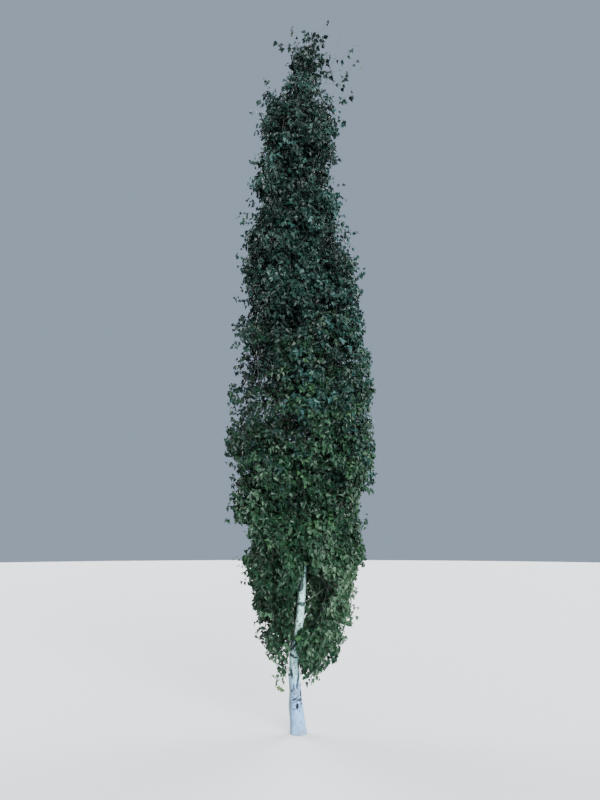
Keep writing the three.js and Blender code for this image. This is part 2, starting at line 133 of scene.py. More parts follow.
# Boughs of the lowest tier, thin and steep: height, azimuth, radius.
LOW_BOUGHS = ((0.89, 25, 0.008), (0.79, 125, 0.009), (0.46, 196, 0.007), (0.6, 335, 0.012))
LOW_BOUGH_RISE = 1.35  # for each metre outwards
LIMB_ROOT_SHARE = 0.3  # of the trunk's radius, how far from its centre the limbs start
BOUGH_START_ROOM = 0.06  # above the floor of the tier
BOUGH_START_SHARES = (0.04, 0.2)  # of the tier's height, above that
BOUGH_START_SWING = 24
BOUGH_BASE_SHARE = 0.34  # of the trunk's radius
BOUGH_TIP_SHARE = 0.62  # of the radius at its base
BOUGH_END_SHARES = (0.26, 0.32)  # of the crown's half width
BOUGH_END_LEVEL_SHARE = 0.12
BOUGH_SAG_SHARE = 0.25
BOUGH_BEND_SHARE = 0.62
LOW_SHOOT_HEIGHT = 0.35
LOW_SHOOT_AZIMUTH = 350
LOW_SHOOT_RADIUS = 0.007
LOW_SHOOT_TOP = 0.76
LOW_SHOOT_STAND = 0.056  # from the trunk's centre
LOW_SHOOT_ELBOW = 0.07  # above its foot, where it turns upright
STEM_END_SHARE = 0.66  # of the crown's half width
STEM_END_LEVEL_SHARE = 0.86
STEM_END_SWING = 16
STEM_BEND_SHARE = 0.4
TWIG_INSET = 0.04  # kept between a main twig's end and the next mass
TWIG_DRAWS = 40
TWIG_CLIMB = 0.5  # for each metre outwards
STEM_STATIONS = (0.06, 0.18, 0.3, 0.42, 0.54, 0.66, 0.78)
TIP_TWIG_START = 0.8
INNER_SHARE = 0.08

# Thin limbs that show low on the tree: start height, azimuth, reach, rise, radius.
THIN_LIMBS = (
    (1.05, 342, 0.34, 0.24, 0.0032),
    (1.17, 12, 0.2, 0.3, 0.0035),
    (1.22, 205, 0.13, 0.3, 0.0035),
    (1.31, 318, 0.12, 0.34, 0.003),
    (0.335, 2, 0.09, 0.07, 0.0035),
    (0.462, 206, 0.3, 0.2, 0.0062),
    (0.6, 200, 0.3, 0.22, 0.0045),
    (0.7, 248, 0.1, 0.24, 0.003),
)
THIN_LIMB_BEND = (0.42, 0.55)  # shares of its rise and reach
THIN_LIMB_SWAY = (-3, 6)  # degrees at its bend and at its tip
THIN_LIMB_TIP_SHARE = 0.4

# Where the viewer of the photograph stood, and how the camera was held.
CAMERA_PLACE = (0.0136, -5.62, 1.6)
CAMERA_PITCH = 13.1
CAMERA_LENS = 27.05
CAMERA_SENSOR = 36.0

# Foliage in front of the trunk: rows of height, and how far the leaves stand clear of the trunk's
# centre line on its left and on its right, as the viewer sees them. A clearance below nothing lets
# the leaves reach past the centre line. Beside the trunk, leaves further back stay, as a backdrop.
TRUNK_WINDOW = (
    (0.0, 0.2, 0.16),
    (0.38, 0.06, 0.09),
    (0.46, 0.06, 0.062),
    (0.5, 0.07, 0.06),
    (0.56, 0.055, 0.05),
    (0.6, 0.05, 0.04),
    (0.64, 0.045, 0.025),
    (0.68, 0.04, 0.0),
    (0.78, 0.035, -0.008),
    (0.83, 0.032, -0.004),
    (0.845, 0.02, 0.0),
    (0.868, 0.03, 0.1),
    (1.0, 0.028, 0.14),
    (1.1, 0.024, 0.16),
    (1.16, 0.014, 0.23),
    (1.2, -0.002, 0.22),
    (1.25, -0.012, 0.1),
    (1.3, -0.014, 0.06),
    (1.38, -0.014, 0.035),
    (1.44, -0.016, 0.022),
    (1.46, 0.0, 0.0),
)


class Mass(NamedTuple):
    """One mass of foliage and the space that it keeps to."""

    name: str
    floor: float
    ceiling: float
    azimuth: float
    half_sector: float
    reach: float
    twigs: int
    seed: int
    foot: tuple | None = None


# Seeds: a mass's own is made of its tier and its place, and each kind of draw adds one of the rest.
TIER_SEED = 1000
PLACE_SEED = 37
COURSE_SEED = 1
SPRAY_SEED = 5
BACKDROP_SEED = 6
LEAF_SEED = 9

LEADER = Mass("leader", TOP_FLOOR, CROWN_TOP, 180, 130, reach=1.0, twigs=9, seed=8 * TIER_SEED)
ARCHING_SHOOT = Mass(
    "arching_shoot", TOP_FLOOR, 6.7, 0, 50, reach=1.9, twigs=5, seed=7 * TIER_SEED
)


def tier_masses():
    """Every mass that stands on a bough of its tier."""
    masses = []
    for index, (floor, twigs, sectors) in enumerate(TIERS):
        ceiling = TIERS[index + 1][0] if index + 1 < len(TIERS) else TOP_FLOOR
        for place, sector in enumerate(sectors):
            name = f"tier_{index + 1}_{'abcd'[place]}"
            seed = TIER_SEED * (index + 1) + PLACE_SEED * place
            foot = LOW_BOUGHS[place] if index == 0 else None
            masses.append(Mass(name, floor, ceiling, *sector, twigs, seed, foot))
    return masses


CARRIED_MASSES = (*tier_masses(), ARCHING_SHOOT)
ALL_MASSES = (*CARRIED_MASSES, LEADER)


# The rule of growth that the solids follow.


def seeded(seed):
    """Random numbers from 0 to 1, the same on every run."""
    whole = 0xFFFFFFFF
    state = seed & whole

    def draw():
        nonlocal state
        state = (state + 0x6D2B79F5) & whole
        mixed = ((state ^ (state >> 15)) * (1 | state)) & whole
        mixed = ((mixed + (mixed ^ (mixed >> 7)) * (61 | mixed)) & whole) ^ mixed
        return ((mixed ^ (mixed >> 14)) & whole) / (whole + 1)

    return draw


def smooth_at(rows, height, column):
    """Smooth values at heights, from rows of (height, value, ...)."""
    rows = np.asarray(rows)
    height = np.asarray(height, float)
    start = np.clip(np.searchsorted(rows[:, 0], height) - 1, 0, len(rows) - 2)
    before, after = np.maximum(start - 1, 0), np.minimum(start + 2, len(rows) - 1)
    heights, values = rows[:, 0], rows[:, column]
    span = heights[start + 1] - heights[start]
    t = np.clip((height - heights[start]) / span, 0, 1)
    slope_in = (values[start + 1] - values[before]) / (heights[start + 1] - heights[before])
    slope_out = (values[after] - values[start]) / (heights[after] - heights[start])
    return (
        values[start] * (2 * t**3 - 3 * t**2 + 1)
        + slope_in * span * (t**3 - 2 * t**2 + t)
        + values[start + 1] * (3 * t**2 - 2 * t**3)
        + slope_out * span * (t**3 - t**2)
    )


def trunk_centre(height):
    """Centre of the trunk at each height."""
    height = np.asarray(height, float)
    return np.stack(
        [smooth_at(TRUNK_BENDS, height, 1), smooth_at(TRUNK_BENDS, height, 2), height], axis=-1
    )


def trunk_radius(height):
    """Radius of the trunk at each height, with the flare at its foot."""
    height = np.asarray(height, float)
    taper = TRUNK_RADIUS * np.clip(1 - height / TAPER_HEIGHT, 0, 1) ** TAPER_POWER
    return taper + FLARE_RADIUS * np.exp(-((height / FLARE_HEIGHT) ** FLARE_POWER))


def crown_radius(height):
    """Half width of the crown at each height."""
    return smooth_at(CROWN_OUTLINE, height, 1)


def around(height, radius, azimuth):
    """Points at heights, distances from the trunk's centre and azimuths in degrees."""
    angle = np.radians(azimuth)
    aside = np.stack([np.cos(angle), np.sin(angle), np.zeros_like(angle)], axis=-1)
    return trunk_centre(height) + np.asarray(radius)[..., None] * aside


def height_at(level, radius, azimuth):
    """Height of a level of the crown, named by its height at the trunk, further out."""
    tilt = TIER_TILT * np.cos(np.radians(np.asarray(azimuth) - TILT_AZIMUTH))
    return level + (TIER_RISE + tilt) * radius


def in_space(mass, points, inset, past_edge=0.0):
    """True for each point in the mass's space: between two cones, in the crown and its sector."""
    offset = points - trunk_centre(points[:, 2])
    radius = np.hypot(offset[:, 0], offset[:, 1])
    heading = np.degrees(np.arctan2(offset[:, 1], offset[:, 0]))
    lowest = height_at(mass.floor, radius, heading) + inset
    highest = np.minimum(height_at(mass.ceiling, radius, heading), CROWN_TOP) - inset
    turn = np.abs((heading - mass.azimuth + 180) % 360 - 180)
    clear = radius * np.sin(np.radians(np.minimum(mass.half_sector - turn, 90)))
    inside = (points[:, 2] >= lowest) & (points[:, 2] <= highest) & (clear > inset)
    return inside & (radius <= crown_radius(points[:, 2]) * mass.reach + past_edge)


def drawn_points(mass, draws, inner_share=INNER_SHARE, power=0.5):
    """Points of the mass's space for rows of three random numbers: azimuth, level, distance."""
    azimuth = mass.azimuth + mass.half_sector * (2 * draws[:, 0] - 1)
    level = mass.floor + (mass.ceiling - mass.floor) * draws[:, 1]
    reach = crown_radius(level + TIER_RISE * crown_radius(level)) * mass.reach
    radius = reach * (inner_share + (1 - inner_share) * draws[:, 2]) ** power
    return around(height_at(level, radius, azimuth), radius, azimuth)


def bent(start, bend, end, t):
    """Points along a curve from start to end that bends towards the third point."""
    t = np.asarray(t, float)[..., None]
    return (1 - t) ** 2 * start + 2 * t * (1 - t) * bend + t**2 * end


def blend(low, high, share):
    """The value at a share of the way from low to high."""
    return low + (high - low) * share


def below(height, span):
    """Rises from 0 to 1 as the height falls from the first value of a span to the second."""
    high, low = span
    return np.clip((high - height) / (high - low), 0, 1)


def hump(height, middle, span):
    """1 at a middle height, falling off smoothly above and below it."""
    return np.exp(-(((height - middle) / span) ** 2))


def unit(vectors):
    """Vectors of length one in the same directions."""
    length = np.linalg.norm(vectors, axis=-1, keepdims=True)
    return vectors / np.maximum(length, 1e-9)


def limb_root(height, azimuth):
    """Where a limb's course starts, inside the trunk."""
    return around(height, LIMB_ROOT_SHARE * trunk_radius(height), azimuth)


@lru_cache(maxsize=None)
def courses_of(mass):
    """A bough's course and base radius, and the course of its mass's stem beyond it."""
    span = mass.ceiling - mass.floor
    draw = seeded(mass.seed + COURSE_SEED)
    if mass.foot:
        base_height, base_azimuth, base_radius = mass.foot
    else:
        base_height = mass.floor + BOUGH_START_ROOM + span * blend(*BOUGH_START_SHARES, draw())
        base_azimuth = mass.azimuth + BOUGH_START_SWING * (draw() - 0.5)
        base_radius = BOUGH_BASE_SHARE * float(trunk_radius(base_height))
    tip_radius = crown_radius(mass.ceiling) * blend(*BOUGH_END_SHARES, draw())
    lowest = base_height - BOUGH_SAG_SHARE * tip_radius
    tip_level = max(mass.floor + BOUGH_END_LEVEL_SHARE * span, lowest)
    tip_height = height_at(tip_level, tip_radius, mass.azimuth)
    if mass.foot:
        tip_height = base_height + LOW_BOUGH_RISE * tip_radius
    tip = around(tip_height, tip_radius, mass.azimuth)
    base = limb_root(base_height, base_azimuth)
    bend = around((base_height + tip[2]) / 2, BOUGH_BEND_SHARE * tip_radius, base_azimuth)
    end_radius = STEM_END_SHARE * crown_radius(mass.ceiling) * math.sqrt(mass.reach)
    end_azimuth = mass.azimuth + STEM_END_SWING * (draw() - 0.5)
    end_height = height_at(mass.floor + STEM_END_LEVEL_SHARE * span, end_radius, end_azimuth)
    end = around(end_height, end_radius, end_azimuth)
    heading = unit(tip - bend)
    stem_bend = tip + heading * STEM_BEND_SHARE * np.linalg.norm(end - tip)
    return (base, bend, tip), (tip, stem_bend, end), base_radius


def leader_course():
    """The stem of the top mass, which goes on from the trunk's tip."""
    foot = trunk_centre(TRUNK_TIP_HEIGHT)
    bend = foot + np.array([0, 0, STEM_BEND_SHARE * LEADER_LENGTH])
    return foot, bend, trunk_centre(TRUNK_TIP_HEIGHT + LEADER_LENGTH)


def stem_of(mass):
    """Course of a mass's stem and its radius where it starts."""
    if mass is LEADER:
        return leader_course(), float(trunk_radius(TRUNK_TIP_HEIGHT))
    _, stem, base_radius = courses_of(mass)
    return stem, base_radius * BOUGH_TIP_SHARE


def main_twigs(mass):
    """Start and end of each main twig: an end is as far as it can be from those before it."""
    stem, _ = stem_of(mass)
    draw = seeded(mass.seed)
    ends = [stem[2]]
    twigs = [(bent(*stem, TIP_TWIG_START), stem[2])]
    starts = bent(*stem, STEM_STATIONS)
    for _ in range(mass.twigs):
        draws = np.array([[draw(), draw(), draw()] for _ in range(TWIG_DRAWS)])
        points = drawn_points(mass, draws)
        points = points[in_space(mass, points, TWIG_INSET)]
        room = np.linalg.norm(points[:, None] - np.array(ends), axis=2).min(axis=1)
        end = points[room.argmax()]
        across = np.hypot(*(end - starts)[:, :2].T)
        misfit = np.abs(end[2] - starts[:, 2] - TWIG_CLIMB * across)
        ends.append(end)
        twigs.append((starts[misfit.argmin()], end))
    return twigs


# The same rule carried on to fine twigs.

STEM_STEPS = 18
STEPS_ALONG_TWIG = np.arange(1, 8) / 7
MAIN_TWIG_BOW = 0.1  # of its length, how far a main twig sags below a straight line
SPRAY_DRAWS = 10  # each spray is the roomiest of so many points
SPARE_DRAWS = 3  # times as many are drawn, because some fall outside
COUNTED_REACH = 1.3  # a mass that reaches further gets no more sprays for it
SHELL_POWER = 0.36  # below a half, sprays crowd towards the outside of the crown
SHELL_INNER = 0.03
SPRAY_BORDER = 0.005  # kept between a spray's foot and the next mass
SPRAY_PAST_EDGE = 0.1  # beyond the crown's half width, where a plume stands out
SPRAY_EDGE = (0.03, 0.13)  # how far inside the crown's outline the sprays start
LUMP_DEPTH = 0.036  # how much the outline swells and shrinks
# The waves of these lumps: how many round the crown, how steep, and their shift.
LUMP_WAVES = ((3, 4.1, 0.3), (5, -7.3, 1.9), (8, 11.7, 4.0), (2, 16.9, 2.2))
# Plumes of foliage stand out of the outline, with hollows between them.
TUFT_DEPTH = 0.056
TUFT_INSET = 0.036
TUFT_LENGTHS = (0.16, 0.46)
TUFT_STRETCH = (1.0, 1.0, 0.6)
TUFT_WAVES = 16
TUFT_SEED = 77
# Low down the crown stands out further to the right than to the left.
LOW_SKEW = 0.3
LOW_SKEW_SPAN = (0.95, 0.55)
NEAR_CENTRE = 0.01  # closer than this to the trunk's centre, a side means little
# The outermost sprays are thinned out: by height, how deep these reach and the share that is kept.
EDGE_THINNING = ((3.3, 0.07, 0.6), (3.9, 0.12, 0.45), (6.2, 0.12, 0.45), (6.7, 0.08, 0.6))
LOWEST_SPRAY = 0.49
# A twig grows from the nearest wood, but shuns wood above it and wood at the end of a long path.
DOWNHILL_COST = 0.7
PATH_COST = 0.12
TWIG_STEP = 0.075
MOST_STEPS = 4
PARENT_PULL = 0.55  # how far a twig goes on in its parent's direction before it bends away
TIP_RADIUS = 0.00085
BARE_LOAD = 0.2  # a point without a spray thickens its parent as this share of one
# Places where the crown is thin and the sky shows through: centre, radii and share of sprays kept.
THIN_PLACES = (
    ((-0.46, 0.0, 3.02), (0.34, 0.9, 0.42), 0.33),
    ((-0.2, 0.0, 2.8), (0.2, 0.9, 0.18), 0.42),
    ((0.42, 0.0, 3.36), (0.15, 0.9, 0.14), 0.4),
    ((0.05, 0.0, 2.62), (0.2, 0.9, 0.12), 0.45),
    ((0.5, 0.0, 6.2), (0.2, 0.7, 0.32), 0.3),
    ((-0.48, 0.0, 5.98), (0.14, 0.7, 0.2), 0.12),
    ((0.52, 0.0, 5.92), (0.12, 0.7, 0.18), 0.12),
    ((0.37, 0.0, 6.08), (0.1, 0.7, 0.12), 0.45),
    ((0.5, 0.0, 5.18), (0.13, 0.7, 0.3), 0.12),
    ((-0.55, 0.0, 5.37), (0.13, 0.7, 0.17), 0.1),
    ((-0.03, 0.0, 7.05), (0.14, 0.4, 0.3), 0.35),
    ((-0.22, 0.0, 6.95), (0.22, 0.6, 0.3), 0.35),
    ((0.42, 0.0, 6.75), (0.14, 0.6, 0.3), 0.3),
    ((-0.4, 0.0, 6.45), (0.24, 0.6, 0.3), 0.4),
)
# Masses that carry fewer sprays than the rest.
SPARSE_MASSES = {"arching_shoot": 0.06, "leader": 0.62}
# Where the sprays of a mass fill another space than its twigs: the two lowest masses in front reach
# across before the trunk, and the arching shoot is one narrow spray.
SPRAY_SPACES = {
    "tier_1_c": {"half_sector": 60},
    "tier_1_d": {"half_sector": 60},
    "leader": {"reach": 0.78},
    "arching_shoot": {"half_sector": 26, "ceiling": 6.42},
}

# Loose sprays that stand apart from the rest: place, number of leaves and, where it isn't dealt
# out, the tint.
PLACED_SPRAYS = {
    "arching_shoot": (
        (0.632, 0.0, 6.92, 2),
        (0.67, 0.0, 6.73, 2),
        (0.628, 0.03, 6.77, 1),
        (0.527, -0.03, 6.82, 3),
        (0.46, 0.02, 6.78, 2),
        (0.535, 0.04, 6.72, 1),
        (0.395, -0.02, 6.77, 2),
        (0.415, 0.05, 6.66, 1),
        (0.592, -0.02, 6.66, 3),
        (0.504, 0.03, 6.57, 3),
        (0.465, -0.03, 6.5, 4),
        (0.45, 0.05, 6.45, 4),
        (0.371, -0.04, 6.42, 4),
        (0.536, 0.0, 6.31, 4),
        (0.453, 0.05, 6.3, 3),
        (0.461, -0.05, 6.22, 5),
    ),
    "leader": (
        (0.285, -0.02, 7.19, 2),
        (0.2, 0.0, 7.02, 5),
        (0.24, -0.03, 6.93, 5),
        (0.18, 0.03, 6.9, 5),
        (0.26, 0.02, 6.84, 5),
        (0.22, -0.04, 6.77, 5),
        (0.28, 0.0, 6.72, 4),
        (0.15, -0.03, 6.99, 4),
        (-0.049, 0.0, 7.13, 5),
        (0.103, -0.03, 7.09, 4),
        (0.2, 0.0, 7.1, 4),
        (0.25, -0.04, 7.0, 5),
        (-0.22, 0.02, 7.0, 1),
        (-0.157, -0.04, 6.91, 4),
        (-0.097, 0.03, 6.98, 3),
        (0.319, -0.03, 6.8, 4),
        (0.308, 0.04, 6.66, 4),
        (0.3, -0.1, 6.45, 4),
    ),
    "tier_6_b": ((-0.271, 0.05, 6.38, 4), (-0.373, 0.03, 6.39, 4)),
    "tier_6_c": ((-0.318, -0.08, 6.44, 4), (-0.407, -0.07, 6.18, 5)),
    "tier_6_a": ((0.467, 0.03, 6.03, 4),),
    # Beside the trunk the low tints given step from light at the front to dark further back,
    # painted light and shade; fresh and yellow are leaf colours.
    "tier_1_c": (
        (-0.18, -0.05, 0.61, 6, "low_tint_4"),
        (-0.22, -0.06, 0.67, 6, "low_tint_4"),
        (-0.14, -0.07, 0.63, 6, "low_tint_5"),
        (-0.15, -0.03, 0.57, 6, "low_tint_3"),
        (-0.12, -0.09, 0.59, 5, "low_tint_4"),
        (-0.1, -0.08, 0.64, 5, "low_tint_5"),
        (-0.11, -0.05, 0.54, 5, "low_tint_3"),
        (-0.15, -0.1, 0.67, 6, "low_tint_5"),
        (-0.17, 0.02, 0.58, 5, "low_tint_2"),
        (-0.13, 0.02, 0.61, 5, "low_tint_2"),
        (-0.11, 0.0, 0.6, 6, "low_tint_1"),
        (-0.1, 0.03, 0.56, 5, "low_tint_2"),
        (-0.11, 0.01, 0.52, 4, "low_tint_2"),
        (-0.14, 0.0, 0.65, 6, "low_tint_1"),
        (-0.14, -0.07, 0.51, 4, "low_tint_5"),
        (-0.12, -0.08, 0.5, 4, "fresh_tint"),
        (-0.115, -0.06, 0.47, 3, "yellow_tint"),
        (-0.15, -0.05, 0.46, 3, "yellow_tint"),
        (-0.13, -0.03, 0.43, 3, "fresh_tint"),
        (-0.135, -0.06, 0.4, 3, "yellow_tint"),
        (-0.155, -0.05, 0.39, 3, "yellow_tint"),
        (-0.165, -0.05, 0.43, 2, "fresh_tint"),
    ),
    "tier_1_d": (
        (0.27, -0.1, 0.62, 6, "low_tint_3"),
        (0.3, -0.08, 0.67, 6, "low_tint_4"),
        (0.23, -0.14, 0.61, 6, "low_tint_4"),
        (0.32, -0.05, 0.71, 5, "low_tint_4"),
        (0.21, -0.12, 0.61, 6, "low_tint_3"),
        (0.27, -0.02, 0.62, 6, "low_tint_2"),
        (0.17, -0.15, 0.61, 5, "low_tint_4"),
        (0.22, -0.04, 0.57, 6, "low_tint_2"),
        (0.27, -0.08, 0.67, 7, "low_tint_3"),
        (0.24, -0.06, 0.63, 7, "low_tint_2"),
        (0.3, -0.04, 0.71, 7, "low_tint_3"),
        (0.33, -0.1, 0.76, 6, "low_tint_4"),
        (0.34, -0.02, 0.78, 6, "low_tint_3"),
        (0.3, 0.0, 0.68, 6, "low_tint_2"),
    ),
}
# Sprays that fill what the open window shows behind the trunk, in the lightest low tints as painted
# light where they stand in shade: mass, centre, radii and number.
BACKDROPS = (
    ("tier_1_a", (0.2, 0.06, 1.12), (0.17, 0.04, 0.24), 95),
    ("tier_1_a", (0.13, 0.09, 1.34), (0.12, 0.05, 0.14), 25),
    ("tier_1_d", (0.2, 0.0, 0.96), (0.13, 0.03, 0.14), 45),
    ("tier_1_a", (0.07, 0.1, 0.94), (0.06, 0.03, 0.13), 40),
    ("tier_1_b", (-0.12, 0.07, 1.12), (0.12, 0.04, 0.24), 30),
    ("tier_1_b", (-0.07, 0.07, 0.94), (0.06, 0.03, 0.13), 25),
)
BACKDROP_TONES = (4, 6)  # the two lightest of the low tints


class Wood(NamedTuple):
    """The branching of one mass: each point grows from its parent."""

    points: np.ndarray
    parent: np.ndarray
    radius: np.ndarray
    tips: np.ndarray
    outward: np.ndarray
    placed: np.ndarray  # for each tip, its row of PLACED_SPRAYS, or less than 0


def lumps(points):
    """Share by which the crown's outline swells at each point, in lumps the size of a branch."""
    offset = points - trunk_centre(points[:, 2])
    angle = np.arctan2(offset[:, 1], offset[:, 0])
    height = points[:, 2]
    waves = [np.sin(turns * angle + rise * height + shift) for turns, rise, shift in LUMP_WAVES]
    return LUMP_DEPTH * sum(waves) / math.sqrt(len(waves))


@lru_cache(maxsize=None)
def tuft_waves():
    """Headings and shifts of the waves that make the plumes."""
    random = np.random.default_rng(TUFT_SEED)
    headings = unit(random.normal(0, 1, (TUFT_WAVES, 3))) * TUFT_STRETCH
    lengths = random.uniform(*TUFT_LENGTHS, TUFT_WAVES)
    return headings * (2 * math.pi / lengths)[:, None], random.uniform(0, 2 * math.pi, TUFT_WAVES)


def tufts(points):
    """About 1 on a plume of foliage and -1 in a hollow."""
    headings, shifts = tuft_waves()
    return np.sin(points @ headings.T + shifts).sum(axis=1) / math.sqrt(TUFT_WAVES / 2)


def outside(mass, points):
    """How far points stand out of the crown's outline, with its plumes and hollows."""
    offset = points - trunk_centre(points[:, 2])
    radius = np.hypot(offset[:, 0], offset[:, 1])
    rightward = offset[:, 0] / np.maximum(radius, NEAR_CENTRE)
    skew = LOW_SKEW * below(points[:, 2], LOW_SKEW_SPAN) * rightward
    outline = crown_radius(points[:, 2]) * mass.reach * (1 + lumps(points)) * (1 + skew)
    return radius - outline + TUFT_INSET - TUFT_DEPTH * tufts(points)


def thinned(points, random):
    """False for the sprays that are left out where the crown is thin."""
    kept = np.ones(len(points), bool)
    for centre, radii, share in THIN_PLACES:
        near = np.linalg.norm((points - centre) / np.array(radii), axis=1) < 1
        kept &= ~near | (random.random(len(points)) < share)
    return kept


# What counts as in front: over the trunk, and further aside, by depth behind the trunk's centre.
BESIDE_TRUNK = 0.05
TRUNK_DEPTH = 0.02
BACKDROP_DEPTH = -0.03
# Where the window is wide open it widens towards the viewer, so that light falls into it.
WIDE_OPEN = 0.08
FUNNEL_START = 0.08
FUNNEL_SLOPE = 0.32
FUNNEL_LEFT_SHARE = 0.4


def seen_over_trunk(points):
    """True for points that hide the part of the trunk that is open to the viewer."""
    eye = np.array(CAMERA_PLACE)
    scale = (eye[1] / (eye[1] - points[:, 1]))[:, None]
    seen = eye + (points - eye) * scale
    aside = seen[:, 0] - trunk_centre(seen[:, 2])[:, 0]
    heights, left, right = np.array(TRUNK_WINDOW).T
    clear_left = np.interp(seen[:, 2], heights, left)
    clear_right = np.interp(seen[:, 2], heights, right)
    depth = points[:, 1] - trunk_centre(points[:, 2])[:, 1]
    in_front = depth < np.where(np.abs(aside) < BESIDE_TRUNK, TRUNK_DEPTH, BACKDROP_DEPTH)
    funnel = FUNNEL_SLOPE * np.maximum(-depth - FUNNEL_START, 0) * (clear_right > WIDE_OPEN)
    left_edge = -clear_left - FUNNEL_LEFT_SHARE * funnel
    return in_front & (aside > left_edge) & (aside < clear_right + funnel)


def spray_points(mass, sprays_per_area):
    """Feet of the leafy sprays, spread evenly through the outer part of the mass's space."""
    random = np.random.default_rng(mass.seed + SPRAY_SEED)
    mass = mass._replace(**SPRAY_SPACES.get(mass.name, {}))
    middle = (mass.floor + mass.ceiling) / 2
    half_width = crown_radius(middle + TIER_RISE * crown_radius(middle))
    reach = half_width * min(mass.reach, COUNTED_REACH)
    area = reach * math.radians(2 * mass.half_sector) * (mass.ceiling - mass.floor)
    count = int(sprays_per_area * area * SPARSE_MASSES.get(mass.name, 1.0))
    draws = random.random((count * SPRAY_DRAWS * SPARE_DRAWS, 3))
    pool = drawn_points(mass, draws, SHELL_INNER, SHELL_POWER)
    depth = -outside(mass, pool)
    pool = pool[(depth > random.uniform(*SPRAY_EDGE, len(pool))) & in_limits(pool)]
    pool = pool[in_space(mass, pool, SPRAY_BORDER, SPRAY_PAST_EDGE)]
    pool = pool[(pool[:, 2] > LOWEST_SPRAY) & ~seen_over_trunk(pool)]
    chosen = np.empty((0, 3))
    for start in range(0, min(len(pool), count * SPRAY_DRAWS) - SPRAY_DRAWS, SPRAY_DRAWS):
        drawn = pool[start : start + SPRAY_DRAWS]
        if len(chosen):
            room = ((drawn[:, None] - chosen) ** 2).sum(axis=2).min(axis=1)
            drawn = drawn[room.argmax()][None]
        chosen = np.vstack([chosen, drawn[:1]])
    heights, depths, shares = np.array(EDGE_THINNING).T
    outermost = outside(mass, chosen) > -np.interp(chosen[:, 2], heights, depths)
    lucky = random.random(len(chosen)) < np.interp(chosen[:, 2], heights, shares)
    kept = thinned(chosen, random) & (~outermost | lucky)
    return chosen[kept]


ORDINARY, BACKDROP = -1, -2


def all_sprays(mass, sprays_per_area):
    """Feet of a mass's sprays, and the kind of each: ordinary, of a backdrop, or a placed row."""
    groups = [spray_points(mass, sprays_per_area)]
    random = np.random.default_rng(mass.seed + BACKDROP_SEED)
    for name, centre, radii, number in BACKDROPS:
        if name == mass.name:
            heading = unit(random.normal(0, 1, (number, 3)))
            groups.append(np.array(centre) + heading * radii * random.random((number, 1)) ** 0.5)
    kinds = [np.full(len(group), BACKDROP if i else ORDINARY) for i, group in enumerate(groups)]
    placed = np.array([row[:3] for row in PLACED_SPRAYS.get(mass.name, ())]).reshape(-1, 3)
    return np.vstack([*groups, placed]), np.concatenate([*kinds, np.arange(len(placed))])


def main_wood(mass):
    """Points of a mass's stem and main twigs, and the parent of each."""
    stem, _ = stem_of(mass)
    points = list(bent(*stem, np.linspace(0, 1, STEM_STEPS)))
    parent = [-1, *range(STEM_STEPS - 1)]
    for start, end in main_twigs(mass)[1:]:
        stem_points = np.array(points[:STEM_STEPS])
        last = int(np.linalg.norm(stem_points - start, axis=1).argmin())
        length = np.linalg.norm(end - start)
        sag = np.array([0, 0, MAIN_TWIG_BOW * length])
        for point in bent(points[last], (points[last] + end) / 2 - sag, end, STEPS_ALONG_TWIG):
            parent.append(last)
            last = len(points)
            points.append(point)
    return points, parent


@lru_cache(maxsize=None)
def wood_of(mass, sprays_per_area):
    """The branching of a mass, from its stem and main twigs to the foot of each spray."""
    points, parent = main_wood(mass)
    sprays, kinds = all_sprays(mass, sprays_per_area)
    room = np.linalg.norm(sprays[:, None] - np.array(points), axis=2).min(axis=1)
    order = np.argsort(room)
    tips = []
    capacity = len(points) + MOST_STEPS * len(sprays)
    grown = np.zeros((capacity, 3))
    path = np.zeros(capacity)
    count = len(points)
    grown[:count] = points
    for i in range(1, count):
        path[i] = path[parent[i]] + np.linalg.norm(grown[i] - grown[parent[i]])
    for spray in sprays[order]:
        gap = np.linalg.norm(grown[:count] - spray, axis=1)
        drop = np.maximum(grown[:count, 2] - spray[2], 0)
        source = int((gap + DOWNHILL_COST * drop + PATH_COST * path[:count]).argmin())
        before = parent[source] if parent[source] >= 0 else source
        along = unit(grown[source] - grown[before])
        straight = unit(spray - grown[source])
        pull = grown[source] + 0.5 * gap[source] * unit(PARENT_PULL * along + straight)
        steps = int(np.clip(round(gap[source] / TWIG_STEP), 1, MOST_STEPS))
        last = source
        for point in bent(grown[source], pull, spray, np.arange(1, steps + 1) / steps):
            parent.append(last)
            path[count] = path[last] + np.linalg.norm(point - grown[last])
            grown[count] = point
            last = count
            count += 1
        tips.append(last)
    return finished_wood(mass, grown[:count], np.array(parent), np.array(tips), kinds[order])


def finished_wood(mass, points, parent, tips, placed):
    """Wood with the thickness of every point, from how many sprays it carries."""
    _, foot_radius = stem_of(mass)
    carried = np.zeros(len(points))
    carried[tips] = 1
    for i in range(len(points) - 1, 0, -1):
        carried[parent[i]] += max(carried[i], BARE_LOAD)
    power = math.log(foot_radius / TIP_RADIUS) / math.log(max(carried[0], 2))
    radius = TIP_RADIUS * np.maximum(carried, 1) ** power
    outward = points - trunk_centre(points[:, 2])
    outward[:, 2] = 0
    return Wood(points, parent, radius, tips, unit(outward), placed)


# Leaves of the sprays.

SHOOT_LENGTH = (0.07, 0.17)
SHOOT_OUT = 0.5
SHOOT_DROOP = (0.12, 0.72)
SHOOT_RANDOM = 0.42
SHOOT_INSET = 0.02  # its end stays this much further in than its leaves
SHORTEST_SHARE = 0.2  # of its length, where a shoot would stand out too far
SHARES_TRIED = 9
LEADER_LIFT = 0.6
LEAVES_ON_SHOOT = (6, 9)
LEAF_PLACES = (0.4, 0.8)  # along its own part of the shoot
# Placed sprays have short shoots. Where no tint is given, theirs is one of the four darkest. In
# masses whose floor is above this height their leaves are larger than others.
PLACED_SHOOT_LENGTH = (0.02, 0.06)
PLACED_SLACK = 1.0
PLACED_TONES = (0, 4)
PLACED_LEAF_FLOOR = 3.3
PLACED_LEAF_SHARE = 1.3
